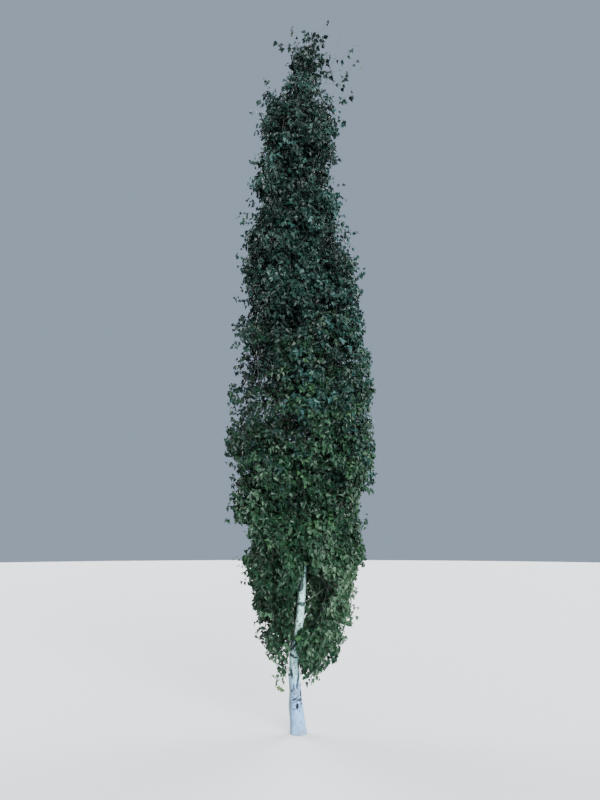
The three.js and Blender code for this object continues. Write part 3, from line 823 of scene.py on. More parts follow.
# How far the leaves of a spray stand out of the outline, by height: the least, and the usual more.
EDGE_SLACK = ((3.3, 0.0, 0.016), (3.9, -0.055, 0.045), (6.2, -0.06, 0.055), (6.7, -0.02, 0.05))
MOST_SLACK = 0.1
# Sprigs stand out of the crown here and there, longer than other shoots.
SPRIG_SHARE = 0.12
SPRIG_DEPTH = 0.1
SPRIG_LENGTH = (0.13, 0.21)
SPRIG_SLACK = 0.13
SPRIG_RISE = 0.25
SPRIG_RANDOM = 0.3
# No leaf stands further out than these limits across and along the view.
LIMIT_LOW = (-0.675, -0.662)
LIMIT_HIGH = (0.718, 0.665)
LOWEST_LEAF = 0.3
LEAF_DOWN = 0.75
LEAF_OUT = 0.2
LEAF_ASIDE = 0.35
LEAF_RANDOM = 0.55
ASIDE_TILT = 0.4
FACE_OUT = 0.3
FACE_UP = 0.35
FACE_RANDOM = 0.95
STALK_WIDTH = 0.0013
STALK_RANDOM = 0.4
# How leaves differ: their values are multiplied by random numbers between these.
STALK_LENGTHS = (0.7, 1.3)
LEAF_SIZES = (0.72, 1.22)
LEAF_CURLS = (0.2, 1.6)
LEAF_FOLDS = (0.4, 1.7)
LEAF_WIDTHS = (0.9, 1.1)
LEAF_CURL = 0.16
LEAF_ROUGHNESS = 0.55
LEAF_SHINE = 0.24
# Half of a leaf's outline, as (place along the leaf, half width) from the stalk to the tip, with a
# last point on its midrib.
LEAF_EDGE = ((0.0, 0.0), (0.19, 0.39), (0.56, 0.25), (1.0, 0.0), (0.42, 0.0))
LEAF_FACES = ((0, 1, 4), (1, 2, 4), (2, 3, 4))


class Leaves(NamedTuple):
    """Every leaf of a mass: where its stalk starts, its blade's base, directions, size, tint."""

    stalk: np.ndarray
    base: np.ndarray
    along: np.ndarray
    face: np.ndarray
    length: np.ndarray
    tint: np.ndarray


def in_limits(points):
    """True for points that don't stand too far out."""
    return ((points[..., :2] > LIMIT_LOW) & (points[..., :2] < LIMIT_HIGH)).all(axis=-1)


def shoots_of(mass, wood, random):
    """Direction and length of each spray's leafy shoot, and how far its leaves may stand out."""
    count = len(wood.tips)
    outward = wood.outward[wood.tips]
    direction = SHOOT_OUT * outward + random.normal(0, SHOOT_RANDOM, (count, 3))
    direction[:, 2] -= random.uniform(*SHOOT_DROOP, count)
    if mass.floor >= TOP_FLOOR:
        direction[:, 2] += LEADER_LIFT
    length = random.uniform(*SHOOT_LENGTH, count)
    foot = wood.points[wood.tips]
    heights, least, usual = np.array(EDGE_SLACK).T
    slack = random.exponential(1, count) * np.interp(foot[:, 2], heights, usual)
    slack = np.minimum(slack + np.interp(foot[:, 2], heights, least), MOST_SLACK)
    sprig = (outside(mass, foot) > -SPRIG_DEPTH) & (random.random(count) < SPRIG_SHARE)
    stray = random.normal(0, SPRIG_RANDOM, (sprig.sum(), 3))
    direction[sprig] = outward[sprig] + stray + [0, 0, SPRIG_RISE]
    length[sprig] = random.uniform(*SPRIG_LENGTH, sprig.sum())
    slack[sprig] = SPRIG_SLACK
    placed = wood.placed >= 0
    length[placed] = random.uniform(*PLACED_SHOOT_LENGTH, placed.sum())
    slack[placed] = PLACED_SLACK
    direction = unit(direction)
    shares = np.linspace(SHORTEST_SHARE, 1, SHARES_TRIED)
    ends = foot[:, None] + direction[:, None] * (length[:, None] * shares)[..., None]
    fits = outside(mass, ends.reshape(-1, 3)).reshape(count, -1) < slack[:, None] - SHOOT_INSET
    fits &= in_limits(ends)
    return direction, length * np.where(fits, shares, SHORTEST_SHARE).max(axis=1), slack


# The six tones of each set are lit and shaded copies of one leaf colour: painted light and shade.
TONES = ("tint_1", "tint_2", "tint_3", "tint_4", "tint_5", "tint_6")
TINTS = (*TONES, *(f"low_{name}" for name in TONES), "fresh_tint", "yellow_tint")
# A tone runs from 0, the darkest tint, to 1, the lightest: painted shade and light. It starts from
# the first of these values and rises towards the outside of the crown, in patches and by chance.
DEEPEST_TONE = 0.3
OUTER_TONE = 0.34
PATCH_TONE = 0.09
PATCH_WAVES = (((3.1, 4.3, 5.2), 1.3), ((-6.1, 5.0, 3.7), 0.0))
TONE_RANDOM = 0.16
# Sprays inside this share of the crown's half width are in deep shade, though less so low down.
INNER_LEAF = 0.62
INNER_TONE = 0.5
LOW_LIGHT_SHARE = 0.75
# The upper tints are bluer than the low ones, a painted reflection of the sky.
LOW_TINT_SPAN = (3.9, 1.7)  # heights between which the greener tints take over
GREENER_TONE = 0.28  # darker ones of them where they are still few
SIDE_SPAN = 0.5  # of the crown's half width, where a side's own tone is reached in full
# Painted light low on the right of the crown, and painted shade low on its left.
LOW_RIGHT_TONE = 0.13  # lighter leaves low on the right, and darker ones on the left
LOW_RIGHT_SPAN = (1.9, 1.3)
LOW_LEFT_TONE = 0.3  # lighter ones lowest on the left
LOW_LEFT_SPAN = (0.78, 0.63)
# Painted shade on the left half way up.
MID_LEFT_TONE = 0.27  # darker ones on the left half way up
MID_LEFT_HEIGHT = 3.6
MID_LEFT_SPAN = 1.1
# A belt of painted shade all round the crown.
BELT_TONE = 0.12  # and all round above the window over the trunk
BELT_HEIGHT = 1.68
BELT_SPAN = 0.26
FRESH_SHARE = 0.003  # of the outer sprays
FRESH_LOW_SHARE = 0.035  # low down, as many more
YELLOW_SHARE = 0.003  # low down only


def tints_of(mass, wood, random):
    """Tint of each spray: painted shade deep in, painted light outside, greener low down, a few
    fresh.
    """
    foot = wood.points[wood.tips]
    height, half_width = foot[:, 2], crown_radius(foot[:, 2])
    offset = foot - trunk_centre(height)
    share = np.hypot(offset[:, 0], offset[:, 1]) / (half_width * mass.reach)
    patch = sum(np.sin(foot @ np.array(wave) + shift) for wave, shift in PATCH_WAVES)
    # Painted light towards the outside of the crown, painted shade deep inside it.
    tone = DEEPEST_TONE + OUTER_TONE * share + PATCH_TONE * patch
    tone += random.normal(0, TONE_RANDOM, len(foot))
    lowness = below(height, LOW_TINT_SPAN)
    if mass.floor < TOP_FLOOR:
        tone -= INNER_TONE * (share < INNER_LEAF) * (1 - LOW_LIGHT_SHARE * lowness)
    rightward = np.clip(offset[:, 0] / (SIDE_SPAN * half_width), -1, 1)
    leftmost = np.minimum(rightward, 0)
    # Painted light low on the right and painted shade low on the left.
    tone += LOW_RIGHT_TONE * below(height, LOW_RIGHT_SPAN) * rightward
    tone += LOW_LEFT_TONE * below(height, LOW_LEFT_SPAN) * (offset[:, 0] < 0)
    # Painted shade on the left half way up, and in a belt above the window.
    tone += MID_LEFT_TONE * hump(height, MID_LEFT_HEIGHT, MID_LEFT_SPAN) * leftmost
    tone -= BELT_TONE * hump(height, BELT_HEIGHT, BELT_SPAN)
    greener = random.random(len(foot)) < lowness
    tone -= GREENER_TONE * greener * (1 - lowness)
    picked = np.clip((tone * len(TONES)).astype(int), 0, len(TONES) - 1) + len(TONES) * greener
    outer, chance = share > INNER_LEAF, random.random(len(foot))
    fresh = chance < FRESH_SHARE + FRESH_LOW_SHARE * lowness
    picked[outer & fresh] = TINTS.index("fresh_tint")
    yellow = chance < YELLOW_SHARE * (lowness == 1)
    picked[outer & yellow] = TINTS.index("yellow_tint")
    # Backdrop sprays get the two lightest low tints: painted light on leaves that stand in shade.
    behind = wood.placed == BACKDROP
    picked[behind] = len(TONES) + random.integers(*BACKDROP_TONES, behind.sum())
    for i in np.flatnonzero(wood.placed >= 0):
        tint = PLACED_SPRAYS[mass.name][wood.placed[i]][4:]
        picked[i] = TINTS.index(*tint) if tint else random.integers(*PLACED_TONES)
    return picked


def leaves_of(mass, foliage):
    """The leaves of a mass, alternate along its shoots and hanging from thin stalks."""
    wood = wood_of(mass, foliage.sprays_per_area)
    random = np.random.default_rng(mass.seed + LEAF_SEED)
    shoot, shoot_length, slack = shoots_of(mass, wood, random)
    tint = tints_of(mass, wood, random)
    on_shoot = random.integers(LEAVES_ON_SHOOT[0], LEAVES_ON_SHOOT[1] + 1, len(shoot))
    placed = wood.placed >= 0
    on_shoot[placed] = [PLACED_SPRAYS[mass.name][row][3] for row in wood.placed[placed]]
    spray = np.repeat(np.arange(len(shoot)), on_shoot)
    place = np.concatenate([np.arange(n) for n in on_shoot])
    count = len(spray)
    share = (place + random.uniform(*LEAF_PLACES, count)) / on_shoot[spray]
    stalk = wood.points[wood.tips][spray] + shoot[spray] * (share * shoot_length[spray])[:, None]
    outward = wood.outward[wood.tips][spray]
    side = unit(np.cross(shoot[spray], outward + [0, 0, ASIDE_TILT]))
    side *= np.where(place % 2 == 0, 1, -1)[:, None]
    stray = random.normal(0, 1, (count, 3))
    along = LEAF_OUT * outward + LEAF_ASIDE * side + LEAF_RANDOM * stray
    along[:, 2] -= LEAF_DOWN
    along = unit(along)
    face = FACE_OUT * outward + FACE_RANDOM * random.normal(0, 1, (count, 3))
    face[:, 2] += FACE_UP
    face = unit(face - along * (face * along).sum(axis=1, keepdims=True))
    reach = unit(side + outward + along + STALK_RANDOM * stray)
    length = foliage.leaf_length * random.uniform(*LEAF_SIZES, count)
    length *= np.where(placed[spray] & (mass.floor > PLACED_LEAF_FLOOR), PLACED_LEAF_SHARE, 1.0)
    stalk_length = foliage.stalk_length * random.uniform(*STALK_LENGTHS, count)
    base = stalk + reach * stalk_length[:, None]
    tip = base + along * length[:, None]
    kept = ~seen_over_trunk(base) & ~seen_over_trunk(tip)
    kept &= (outside(mass, tip) < slack[spray]) & (tip[:, 2] > LOWEST_LEAF)
    kept &= in_limits(tip)
    return Leaves(*(values[kept] for values in (stalk, base, along, face, length, tint[spray])))


def leaf_arrays(leaves, foliage):
    """Corners and triangles of every leaf: two halves folded on the midrib, and a stalk."""
    count = len(leaves.base)
    place, half_width = np.array(LEAF_EDGE).T
    across = unit(np.cross(leaves.face, leaves.along))
    random = np.random.default_rng(count)
    curl = LEAF_CURL * random.uniform(*LEAF_CURLS, count)
    fold = foliage.leaf_fold * random.uniform(*LEAF_FOLDS, count)
    width = foliage.leaf_width_share * random.uniform(*LEAF_WIDTHS, count)
    corners = []
    for side in (-1, 1):
        sideways = side * half_width[None] * width[:, None]
        lift = fold[:, None] * np.abs(sideways) - curl[:, None] * place[None] ** 2
        blade = (
            place[None, :, None] * leaves.along[:, None]
            + sideways[..., None] * across[:, None]
            + lift[..., None] * leaves.face[:, None]
        )
        corners.append(leaves.base[:, None] + blade * leaves.length[:, None, None])
    thin = across * STALK_WIDTH / 2
    corners.append(np.stack([leaves.stalk - thin, leaves.stalk + thin, leaves.base], axis=1))
    points = np.concatenate(corners, axis=1)
    half = np.array(LEAF_FACES)
    stalk = np.arange(3)[None] + 2 * len(LEAF_EDGE)
    faces = np.concatenate([half[:, ::-1], half + len(LEAF_EDGE), stalk])
    shift = (np.arange(count) * points.shape[1])[:, None, None]
    tint = np.repeat(leaves.tint, len(faces))
    return points.reshape(-1, 3), (faces[None] + shift).reshape(-1, 3), tint


# Wood as meshes.

STEEP = 0.9  # wood more upright than this takes its first side from a level axis
SIDE_TWIG_FOOT = 1.25  # a twig that forks off starts at most this much thicker than its first end
SWEEP_START = (0.3, 0.9, 0.1)  # a direction that no limb has
RIPPLE_WAVES = 26


def turns_of(sides):
    """Angles of a ring's corners."""
    return np.arange(sides) * 2 * math.pi / sides


def tube_arrays(points, parent, radius, sides, picked):
    """Corners and triangles of the picked lengths of branching wood, each from its parent's end."""
    direction = np.zeros_like(points)
    inner = parent >= 0
    direction[inner] = unit(points[inner] - points[parent[inner]])
    direction[~inner] = direction[np.flatnonzero(~inner) + 1]
    helper = np.where(np.abs(direction[:, 2:]) > STEEP, [[1.0, 0, 0]], [[0, 0, 1.0]])
    first = unit(np.cross(helper, direction))
    thickest = {}
    for i in np.flatnonzero(inner):
        known = thickest.get(parent[i])
        if known is None or radius[i] > radius[known]:
            thickest[parent[i]] = i
    for i in np.flatnonzero(inner):
        if thickest[parent[i]] == i:
            first[i] = unit(first[parent[i]] - direction[i] * (first[parent[i]] @ direction[i]))
    second = np.cross(direction, first)
    turn = turns_of(sides)

    def rings(centre, like, thickness):
        across = np.cos(turn)[None, :, None] * first[like][:, None]
        across = across + np.sin(turn)[None, :, None] * second[like][:, None]
        return points[centre][:, None] + across * thickness[:, None, None]

    ends = np.flatnonzero(picked & inner)
    starts = parent[ends]
    goes_on = np.array([thickest[start] == end for start, end in zip(starts, ends)], bool)
    thinner = np.minimum(radius[starts], SIDE_TWIG_FOOT * radius[ends])
    foot = np.where(goes_on, radius[starts], thinner)
    corners = np.concatenate([rings(starts, ends, foot), rings(ends, ends, radius[ends])])
    low = np.arange(len(ends))[:, None] * sides + np.arange(sides)
    low_next = np.roll(low, -1, axis=1)
    high, high_next = low + len(ends) * sides, low_next + len(ends) * sides
    faces = np.concatenate(
        [np.stack([low, low_next, high_next], axis=2), np.stack([low, high_next, high], axis=2)]
    )
    return corners.reshape(-1, 3), faces.reshape(-1, 3)


def sweep(curve, radius, sides):
    """A smooth tube through the curve's points, as a grid of rings."""
    along = unit(np.gradient(curve, axis=0))
    first = np.zeros_like(curve)
    first[0] = unit(np.cross(SWEEP_START, along[0]))
    for i in range(1, len(curve)):
        first[i] = unit(first[i - 1] - along[i] * (first[i - 1] @ along[i]))
    second = np.cross(along, first)
    turn = turns_of(sides)[None, :, None]
    across = np.cos(turn) * first[:, None] + np.sin(turn) * second[:, None]
    return curve[:, None] + across * radius[..., None]


def grid_faces(rings, sides):
    """Triangles of a tube of rings, with both ends closed by a fan."""
    ring = np.arange(rings - 1)[:, None] * sides
    low = ring + np.arange(sides)
    low_next = ring + np.roll(np.arange(sides), -1)
    wall = np.concatenate(
        [
            np.stack([low, low_next, low_next + sides], axis=2).reshape(-1, 3),
            np.stack([low, low_next + sides, low + sides], axis=2).reshape(-1, 3),
        ]
    )
    step = np.arange(1, sides - 1)
    zero = np.zeros_like(step)
    foot = np.stack([zero, step + 1, step], axis=1)
    top = np.stack([zero, step, step + 1], axis=1) + (rings - 1) * sides
    return np.concatenate([wall, foot, top])


def ripple(angle, height, seed, turns, rises):
    """Gentle unevenness from about -1 to 1 over a limb's surface, by angle and height."""
    random = np.random.default_rng(seed)
    total = np.zeros(np.broadcast(angle, height).shape)
    for _ in range(RIPPLE_WAVES):
        about = random.integers(0, turns)
        rise = random.uniform(*rises)
        strength = 1 / math.sqrt(1 + rise / rises[0])
        total += strength * np.sin(about * angle + rise * height + random.uniform(0, 2 * math.pi))
    return total / math.sqrt(RIPPLE_WAVES)


def bark_depth(height):
    """Distance from where a limb's course starts to the trunk's surface."""
    return (1 - LIMB_ROOT_SHARE) * float(trunk_radius(height))


# Swellings of the trunk: height, azimuth, half width, half height and rise.
BUMPS = (
    (0.015, 215, 0.03, 0.025, 0.004),
    (0.02, 335, 0.03, 0.03, 0.006),
    (0.215, 195, 0.04, 0.035, 0.0055),
    (0.33, 200, 0.05, 0.04, -0.003),
    (0.455, 194, 0.02, 0.03, 0.006),
    (0.6, 340, 0.03, 0.03, 0.004),
    (0.64, 205, 0.03, 0.04, 0.005),
)
# Dark marks on the bark: height, azimuth, half width, half height and strength.
# Three of these marks are painted shadow, noted at their rows.
DARK_MARKS = (
    (0.101, 296, 0.011, 0.006, 0.8),
    (0.185, 300, 0.013, 0.005, 0.85),
    (0.2, 256, 0.019, 0.005, 0.95),
    (0.235, 325, 0.013, 0.009, 1.0),
    (0.245, 240, 0.006, 0.005, 1.0),
    (0.25, 260, 0.009, 0.005, 0.9),
    (0.26, 278, 0.005, 0.005, 1.0),
    (0.267, 318, 0.022, 0.013, 1.15),
    (0.268, 290, 0.008, 0.008, 1.0),
    (0.272, 256, 0.012, 0.009, 1.1),
    (0.278, 272, 0.009, 0.009, 1.05),
    (0.288, 284, 0.006, 0.006, 1.05),
    (0.292, 248, 0.006, 0.006, 1.05),
    (0.3, 300, 0.008, 0.008, 1.05),
    (0.312, 338, 0.017, 0.025, 1.1),
    (0.315, 262, 0.006, 0.008, 1.0),
    (0.34, 238, 0.01, 0.01, 0.95),
    (0.355, 262, 0.012, 0.006, 1.0),
    (0.375, 293, 0.008, 0.024, 1.1),
    (0.378, 262, 0.006, 0.026, 1.0),
    (0.41, 305, 0.009, 0.032, 1.1),
    (0.44, 268, 0.004, 0.02, 0.85),
    (0.455, 320, 0.011, 0.04, 1.15),
    (0.47, 252, 0.004, 0.03, 0.9),
    (0.48, 238, 0.012, 0.026, 1.1),
    (0.52, 285, 0.006, 0.01, 0.85),
    (0.545, 332, 0.014, 0.036, 1.1),
    (0.606, 280, 0.022, 0.008, 1.0),
    (0.62, 243, 0.017, 0.011, 1.1),
    (0.628, 215, 0.02, 0.012, 1.1),
    # Painted shadow between the trunk and the low shoot.
    (0.653, 325, 0.014, 0.026, 1.2),
    (0.665, 272, 0.008, 0.008, 0.95),
    (0.672, 226, 0.012, 0.012, 1.1),
    (0.688, 250, 0.011, 0.02, 0.85),
    (0.7, 262, 0.009, 0.014, 0.95),
    (0.714, 197, 0.017, 0.024, 1.1),
    (0.735, 280, 0.006, 0.012, 0.95),
    (0.748, 226, 0.014, 0.016, 1.1),
    # Painted shadow of leaves.
    (0.77, 246, 0.012, 0.01, 0.9),
    (0.87, 270, 0.014, 0.006, 1.0),
    (0.885, 290, 0.012, 0.006, 0.95),
    (0.905, 245, 0.01, 0.008, 1.0),
    (0.925, 262, 0.008, 0.006, 0.85),
    (0.945, 275, 0.006, 0.006, 0.95),
    (0.96, 285, 0.01, 0.005, 0.85),
    (0.98, 240, 0.008, 0.012, 1.0),
    (1.0, 255, 0.009, 0.005, 0.85),
    (1.045, 300, 0.03, 0.017, 1.2),
    (1.05, 258, 0.026, 0.014, 1.1),
    (1.065, 275, 0.007, 0.006, 0.95),
    (1.09, 250, 0.008, 0.01, 0.95),
    (1.14, 262, 0.01, 0.006, 0.9),
    # Painted shade of the leaves over the left of the trunk.
    (1.2, 246, 0.03, 0.045, 1.2),
    (1.25, 268, 0.014, 0.02, 1.1),
    (1.3, 262, 0.007, 0.05, 1.1),
    (1.37, 255, 0.008, 0.03, 1.1),
    (1.37, 285, 0.008, 0.05, 1.0),
)
MARK_SHARPNESS = 0.7  # of both, how steeply they fall off
TRUNK_SIDES = 56
RING_STEPS = ((1.5, 0.006), (TRUNK_TIP_HEIGHT, 0.026))  # up to a height, rings this far apart
# Ripples of the trunk: seed, share of the relief, waves round it and along each metre.
TRUNK_RIPPLES = ((3, 1.0, 7, (6, 90)), (4, 0.5, 14, (60, 420)))
LOW_SHOOT_FORK = 0.03  # above the shoot's start
# At a fork the trunk swells: how far across and along it, and outwards, in radii of the limb.
FORK_SWELL = (2.2, 3.2)
FORK_RISE = 0.55
# A fork's dark collar has a core and an arm that hangs down on either side: sizes in radii of the
# limb, and what is added to them in metres.
COLLAR_SPREAD = 2.6
COLLAR_STRENGTH = 0.9
ARM_RISE = 2.4
ARM_SLOPE = 0.9
ARM_WIDTH = (0.35, 0.004)
ARM_LENGTH = (1.6, 0.022)


def fork_places():
    """Height, azimuth and radius of every limb where it leaves the trunk."""
    forks = [(LOW_SHOOT_HEIGHT + LOW_SHOOT_FORK, LOW_SHOOT_AZIMUTH, LOW_SHOOT_RADIUS)]
    forks += [(height, azimuth, radius) for height, azimuth, _, _, radius in THIN_LIMBS]
    for mass in CARRIED_MASSES:
        (base, bend, _), _, radius = courses_of(mass)
        heading = bend - base
        azimuth = math.degrees(math.atan2(heading[1], heading[0]))
        lean = heading[2] / np.hypot(heading[0], heading[1])
        forks.append((base[2] + lean * bark_depth(base[2]), azimuth, radius))
    return forks


def trunk_rings():
    """Heights of the trunk's rings, close together low down where the bark shows."""
    heights, start = [], 0.0
    for end, step in RING_STEPS:
        heights.append(np.arange(start, end, step))
        start = end
    return np.append(np.concatenate(heights), TRUNK_TIP_HEIGHT)


def distance_round(radius, turn, azimuth):
    """Distance round the trunk from an azimuth."""
    return radius * np.abs((turn - math.radians(azimuth) + math.pi) % (2 * math.pi) - math.pi)


def dome(aside, rise, half_width, half_height):
    """1 at a place on the trunk's surface, falling off smoothly around it."""
    return np.exp(-((aside / half_width) ** 2) - (rise / half_height) ** 2)


def trunk_arrays(relief):
    """Rings of the trunk with its bark's relief, and darkness at forks, marks and painted shadows.
    """
    heights = trunk_rings()
    z, turn = heights[:, None], turns_of(TRUNK_SIDES)[None]
    lobes = 1 + ROOT_LOBE_DEPTH * np.cos(ROOT_LOBES * turn) * np.exp(-z / ROOT_LOBE_HEIGHT)
    radius = trunk_radius(z) * lobes
    thickness = np.clip(radius / TRUNK_RADIUS, 0, 1)
    surface = np.zeros_like(radius)
    for seed, share, waves, rises in TRUNK_RIPPLES:
        surface += share * relief * thickness * ripple(turn, z, seed, waves, rises)
    collar = np.zeros_like(surface)
    across, along = FORK_SWELL
    for height, azimuth, limb in fork_places():
        aside, rise = distance_round(radius, turn, azimuth), z - height
        surface += FORK_RISE * limb * dome(aside, rise, across * limb, along * limb)
        arm = rise - ARM_RISE * limb + ARM_SLOPE * aside
        width, length = (share * limb + more for share, more in (ARM_WIDTH, ARM_LENGTH))
        collar = np.maximum(collar, dome(aside, arm, length, width))
        core = dome(aside, rise, COLLAR_SPREAD * limb, COLLAR_SPREAD * limb)
        collar = np.maximum(collar, COLLAR_STRENGTH * core)
    for height, azimuth, half_width, half_height, rise in BUMPS:
        aside = distance_round(radius, turn, azimuth)
        surface += rise * dome(aside, z - height, half_width, half_height) ** MARK_SHARPNESS
    for height, azimuth, half_width, half_height, strength in DARK_MARKS:
        aside = distance_round(radius, turn, azimuth)
        mark = dome(aside, z - height, half_width, half_height) ** MARK_SHARPNESS
        collar = np.maximum(collar, strength * mark)
    full = radius + surface
    centre = trunk_centre(heights)
    points = np.stack(
        [
            centre[:, :1] + full * np.cos(turn),
            centre[:, 1:2] + full * np.sin(turn),
            np.broadcast_to(z, full.shape),
        ],
        axis=2,
    )
    return points, collar


# Meshes and shaders.


def new_piece(name, points, faces, materials, face_material=None):
    """A mesh object in the frame from corners and triangles."""
    mesh = bpy.data.meshes.new(name)
    mesh.vertices.add(len(points))
    mesh.vertices.foreach_set("co", np.ascontiguousarray(points, np.float32).ravel())
    mesh.loops.add(faces.size)
    mesh.loops.foreach_set("vertex_index", np.ascontiguousarray(faces, np.int32).ravel())
    mesh.polygons.add(len(faces))
    mesh.polygons.foreach_set("loop_start", np.arange(0, faces.size, 3, dtype=np.int32))
    for material in materials:
        mesh.materials.append(material)
    if face_material is not None:
        mesh.polygons.foreach_set("material_index", np.asarray(face_material, np.int32))
    mesh.polygons.foreach_set("use_smooth", np.ones(len(faces), bool))
    mesh.update(calc_edges=True)
    mesh.validate()
    piece = bpy.data.objects.new(name, mesh)
    bpy.context.scene.collection.objects.link(piece)
    return piece


def add_mask(piece, name, values):
    """A value from 0 to 1 for each corner of a piece, which its material can read."""
    attribute = piece.data.attributes.new(name, "FLOAT", "POINT")
    attribute.data.foreach_set("value", np.ascontiguousarray(values, np.float32).ravel())


def settle(piece, slot, *nodes):
    """Makes a piece part of the tree, in place of the frame's nodes."""
    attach(piece, "root")
    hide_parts(*nodes)
    return piece


class Wire:
    """A socket's value in a material's sums."""

    def __init__(self, shader, socket):
        self.shader = shader
        self.socket = socket

    def sum(self, operation, *values):
        """A Math node on two values."""
        return self.shader.node("ShaderNodeMath", {"operation": operation}, dict(enumerate(values)))

    def __add__(self, other):
        return self.sum("ADD", self, other)

    def __radd__(self, other):
        return self.sum("ADD", other, self)

    def __sub__(self, other):
        return self.sum("SUBTRACT", self, other)

    def __rsub__(self, other):
        return self.sum("SUBTRACT", other, self)

    def __mul__(self, other):
        return self.sum("MULTIPLY", self, other)

    def __rmul__(self, other):
        return self.sum("MULTIPLY", other, self)

    def upto(self, other):
        """The larger of two values."""
        return self.sum("MAXIMUM", self, other)

    def between(self, low, high):
        """Rises smoothly from 0 to 1 as the value goes from low to high."""
        settings = {"interpolation_type": "SMOOTHSTEP"}
        return self.shader.node("ShaderNodeMapRange", settings, {0: self, 1: low, 2: high})


class Shader:
    """One material and the nodes that it is made of."""

    def __init__(self, name):
        self.material = bpy.data.materials.new(name)
        self.material.use_nodes = True
        self.tree = self.material.node_tree
        self.surface = self.tree.nodes["Principled BSDF"].inputs

    def node(self, kind, settings, inputs, output=0):
        """A node of a type with its settings and the values or links of its sockets."""
        made = self.tree.nodes.new(kind)
        for name, value in settings.items():
            setattr(made, name, value)
        for key, value in inputs.items():
            self.feed(made.inputs[key], value)
        return Wire(self, made.outputs[output])

    def feed(self, socket, value):
        """Links a value to a socket, or sets it there."""
        if isinstance(value, Wire):
            self.tree.links.new(value.socket, socket)
        else:
            socket.default_value = value

    def place(self):
        """The point of the surface in the tree's own frame."""
        return self.node("ShaderNodeTexCoord", {}, {}, "Object")

    def part(self, point, axis):
        """One coordinate of a point."""
        return self.node("ShaderNodeSeparateXYZ", {}, {0: point}, axis)

    def scaled(self, point, factors):
        """A point with each coordinate multiplied."""
        return self.node("ShaderNodeVectorMath", {"operation": "MULTIPLY"}, {0: point, 1: factors})

    def moved(self, point, offset):
        """A point moved by an offset."""
        return self.node("ShaderNodeVectorMath", {"operation": "ADD"}, {0: point, 1: offset})

    def distance(self, point):
        """Length of a vector."""
        return self.node("ShaderNodeVectorMath", {"operation": "LENGTH"}, {0: point}, "Value")

    def from_oval(self, point, centre, radii):
        """Distance from an oval's centre, 1 at its rim."""
        away = self.moved(point, tuple(-value for value in centre))
        return self.distance(self.scaled(away, tuple(1 / value for value in radii)))

    def cloudy(self, point, pattern):
        """A pattern's random value around a half, at a point."""
        inputs = {
            "Vector": self.scaled(point, pattern.squeeze),
            "Scale": pattern.scale,
            "Detail": pattern.detail,
            "Roughness": pattern.roughness,
        }
        return self.node("ShaderNodeTexNoise", {}, inputs)

    def mixed(self, share, first, second):
        """A colour between two, by a share from 0 to 1."""
        settings = {"data_type": "RGBA"}
        return self.node("ShaderNodeMix", settings, {0: share, 6: first, 7: second}, 2)

    def finish(self, colour, roughness, shine):
        """Sets the surface's colour, how rough it is and how much it shines."""
        self.feed(self.surface["Base Color"], colour)
        self.feed(self.surface["Roughness"], roughness)
        self.feed(self.surface["Specular IOR Level"], shine)
        return self.material

    def emboss(self, height, depth):
        """Raises the surface by a height from 0 to 1 times a depth in metres."""
        bump = self.node("ShaderNodeBump", {}, {"Height": height, "Distance": depth})
        self.feed(self.surface["Normal"], bump)


def opaque(colour):
    """A colour property as four numbers."""
    return (*colour, 1.0)


class Pattern(NamedTuple):
    """A cloudy pattern in bark: its grain, and the marks that it makes."""

    scale: float
    detail: float
    roughness: float = 0.5
    squeeze: tuple = (1.0, 1.0, 1.0)
    edge: tuple = (0.0, 1.0)  # the marks fade in between these values
    strength: float = 1.0
    relief: float = 0.0  # how far the marks rise


# Patterns of the trunk's bark and of the boughs'.
CLOUDS = Pattern(7.0, 4.0, edge=(0.42, 0.72), strength=0.7)
WAVES = Pattern(16.0, 2.0)
STAINS = Pattern(24.0, 5.0, 0.62, (1.0, 1.0, 0.6), (0.5, 0.68), strength=0.75, relief=0.3)
LENTICELS = Pattern(1.0, 2.0, 0.55, (26.0, 26.0, 330.0), (0.67, 0.75), 0.75, relief=-0.35)
SPECKS = Pattern(80.0, 3.0, 0.6, (1.0, 1.0, 1.6), (0.535, 0.595), strength=0.85, relief=-0.3)
COLLARS = Pattern(70.0, 4.0, 0.65, edge=(0.38, 0.62), strength=0.9, relief=-0.4)
CURLS = Pattern(2.0, 5.0, 0.6, (9.0, 9.0, 60.0), relief=0.5)
LIMB_CLOUDS = Pattern(18.0, 4.0, edge=(0.36, 0.66))
PORES = Pattern(210.0, 2.0, edge=(0.63, 0.7), strength=0.7, relief=-0.4)
GRAIN = Pattern(120.0, 4.0, 0.6, (1.0, 1.0, 0.5), relief=0.6)

# Heights between which the trunk's bark changes.
# The foot's bluish colour, which gives way to the white between the first heights, is painted
# shade.
FOOT_ENDS = (0.3, 0.64)
CLOUDS_FADE = (0.8, 0.9)
# Painted shade on the trunk's left side fades out low down between the first two heights, and comes
# in higher up between the next two.
LOW_LEFT_SHADE_ENDS = (0.5, 0.7)
HIGH_LEFT_SHADE_STARTS = (0.56, 0.8)
STAINS_START = (0.3, 0.5)
LOW_SPECKS = ((0.17, 0.24), (0.32, 0.42))  # where they start and where they end
HIGH_SPECKS = ((0.5, 0.58), (0.8, 1.0))
# Inside the crown the trunk turns darker: partly younger bark, partly painted shade.
YOUNG_STARTS = (1.5, 2.4)
TIP_STARTS = (4.6, 6.2)
# How strong each of these is.
CLOUDS_FADED = 0.4
# Strengths of the painted shade on the trunk's left side, low down and higher up.
LOW_LEFT_SHADE = 0.65
HIGH_LEFT_SHADE = 0.95
HIGH_SPECKS_SHARE = 0.45
YOUNG_SHARE = 0.5
TIP_SHARE = 0.35
# Painted shade on the left ends where the bark faces between these; its edge strays by the clouds.
LEFT_ENDS = (-0.45, 0.05)
LEFT_RAGGED = 0.6
# Lenticels gather in patches. A collar's edge is ragged, and drawn back by about half of that.
LENTICEL_PATCHES = 0.16
COLLAR_RAGGED = 0.55
COLLAR_BACK = 0.28

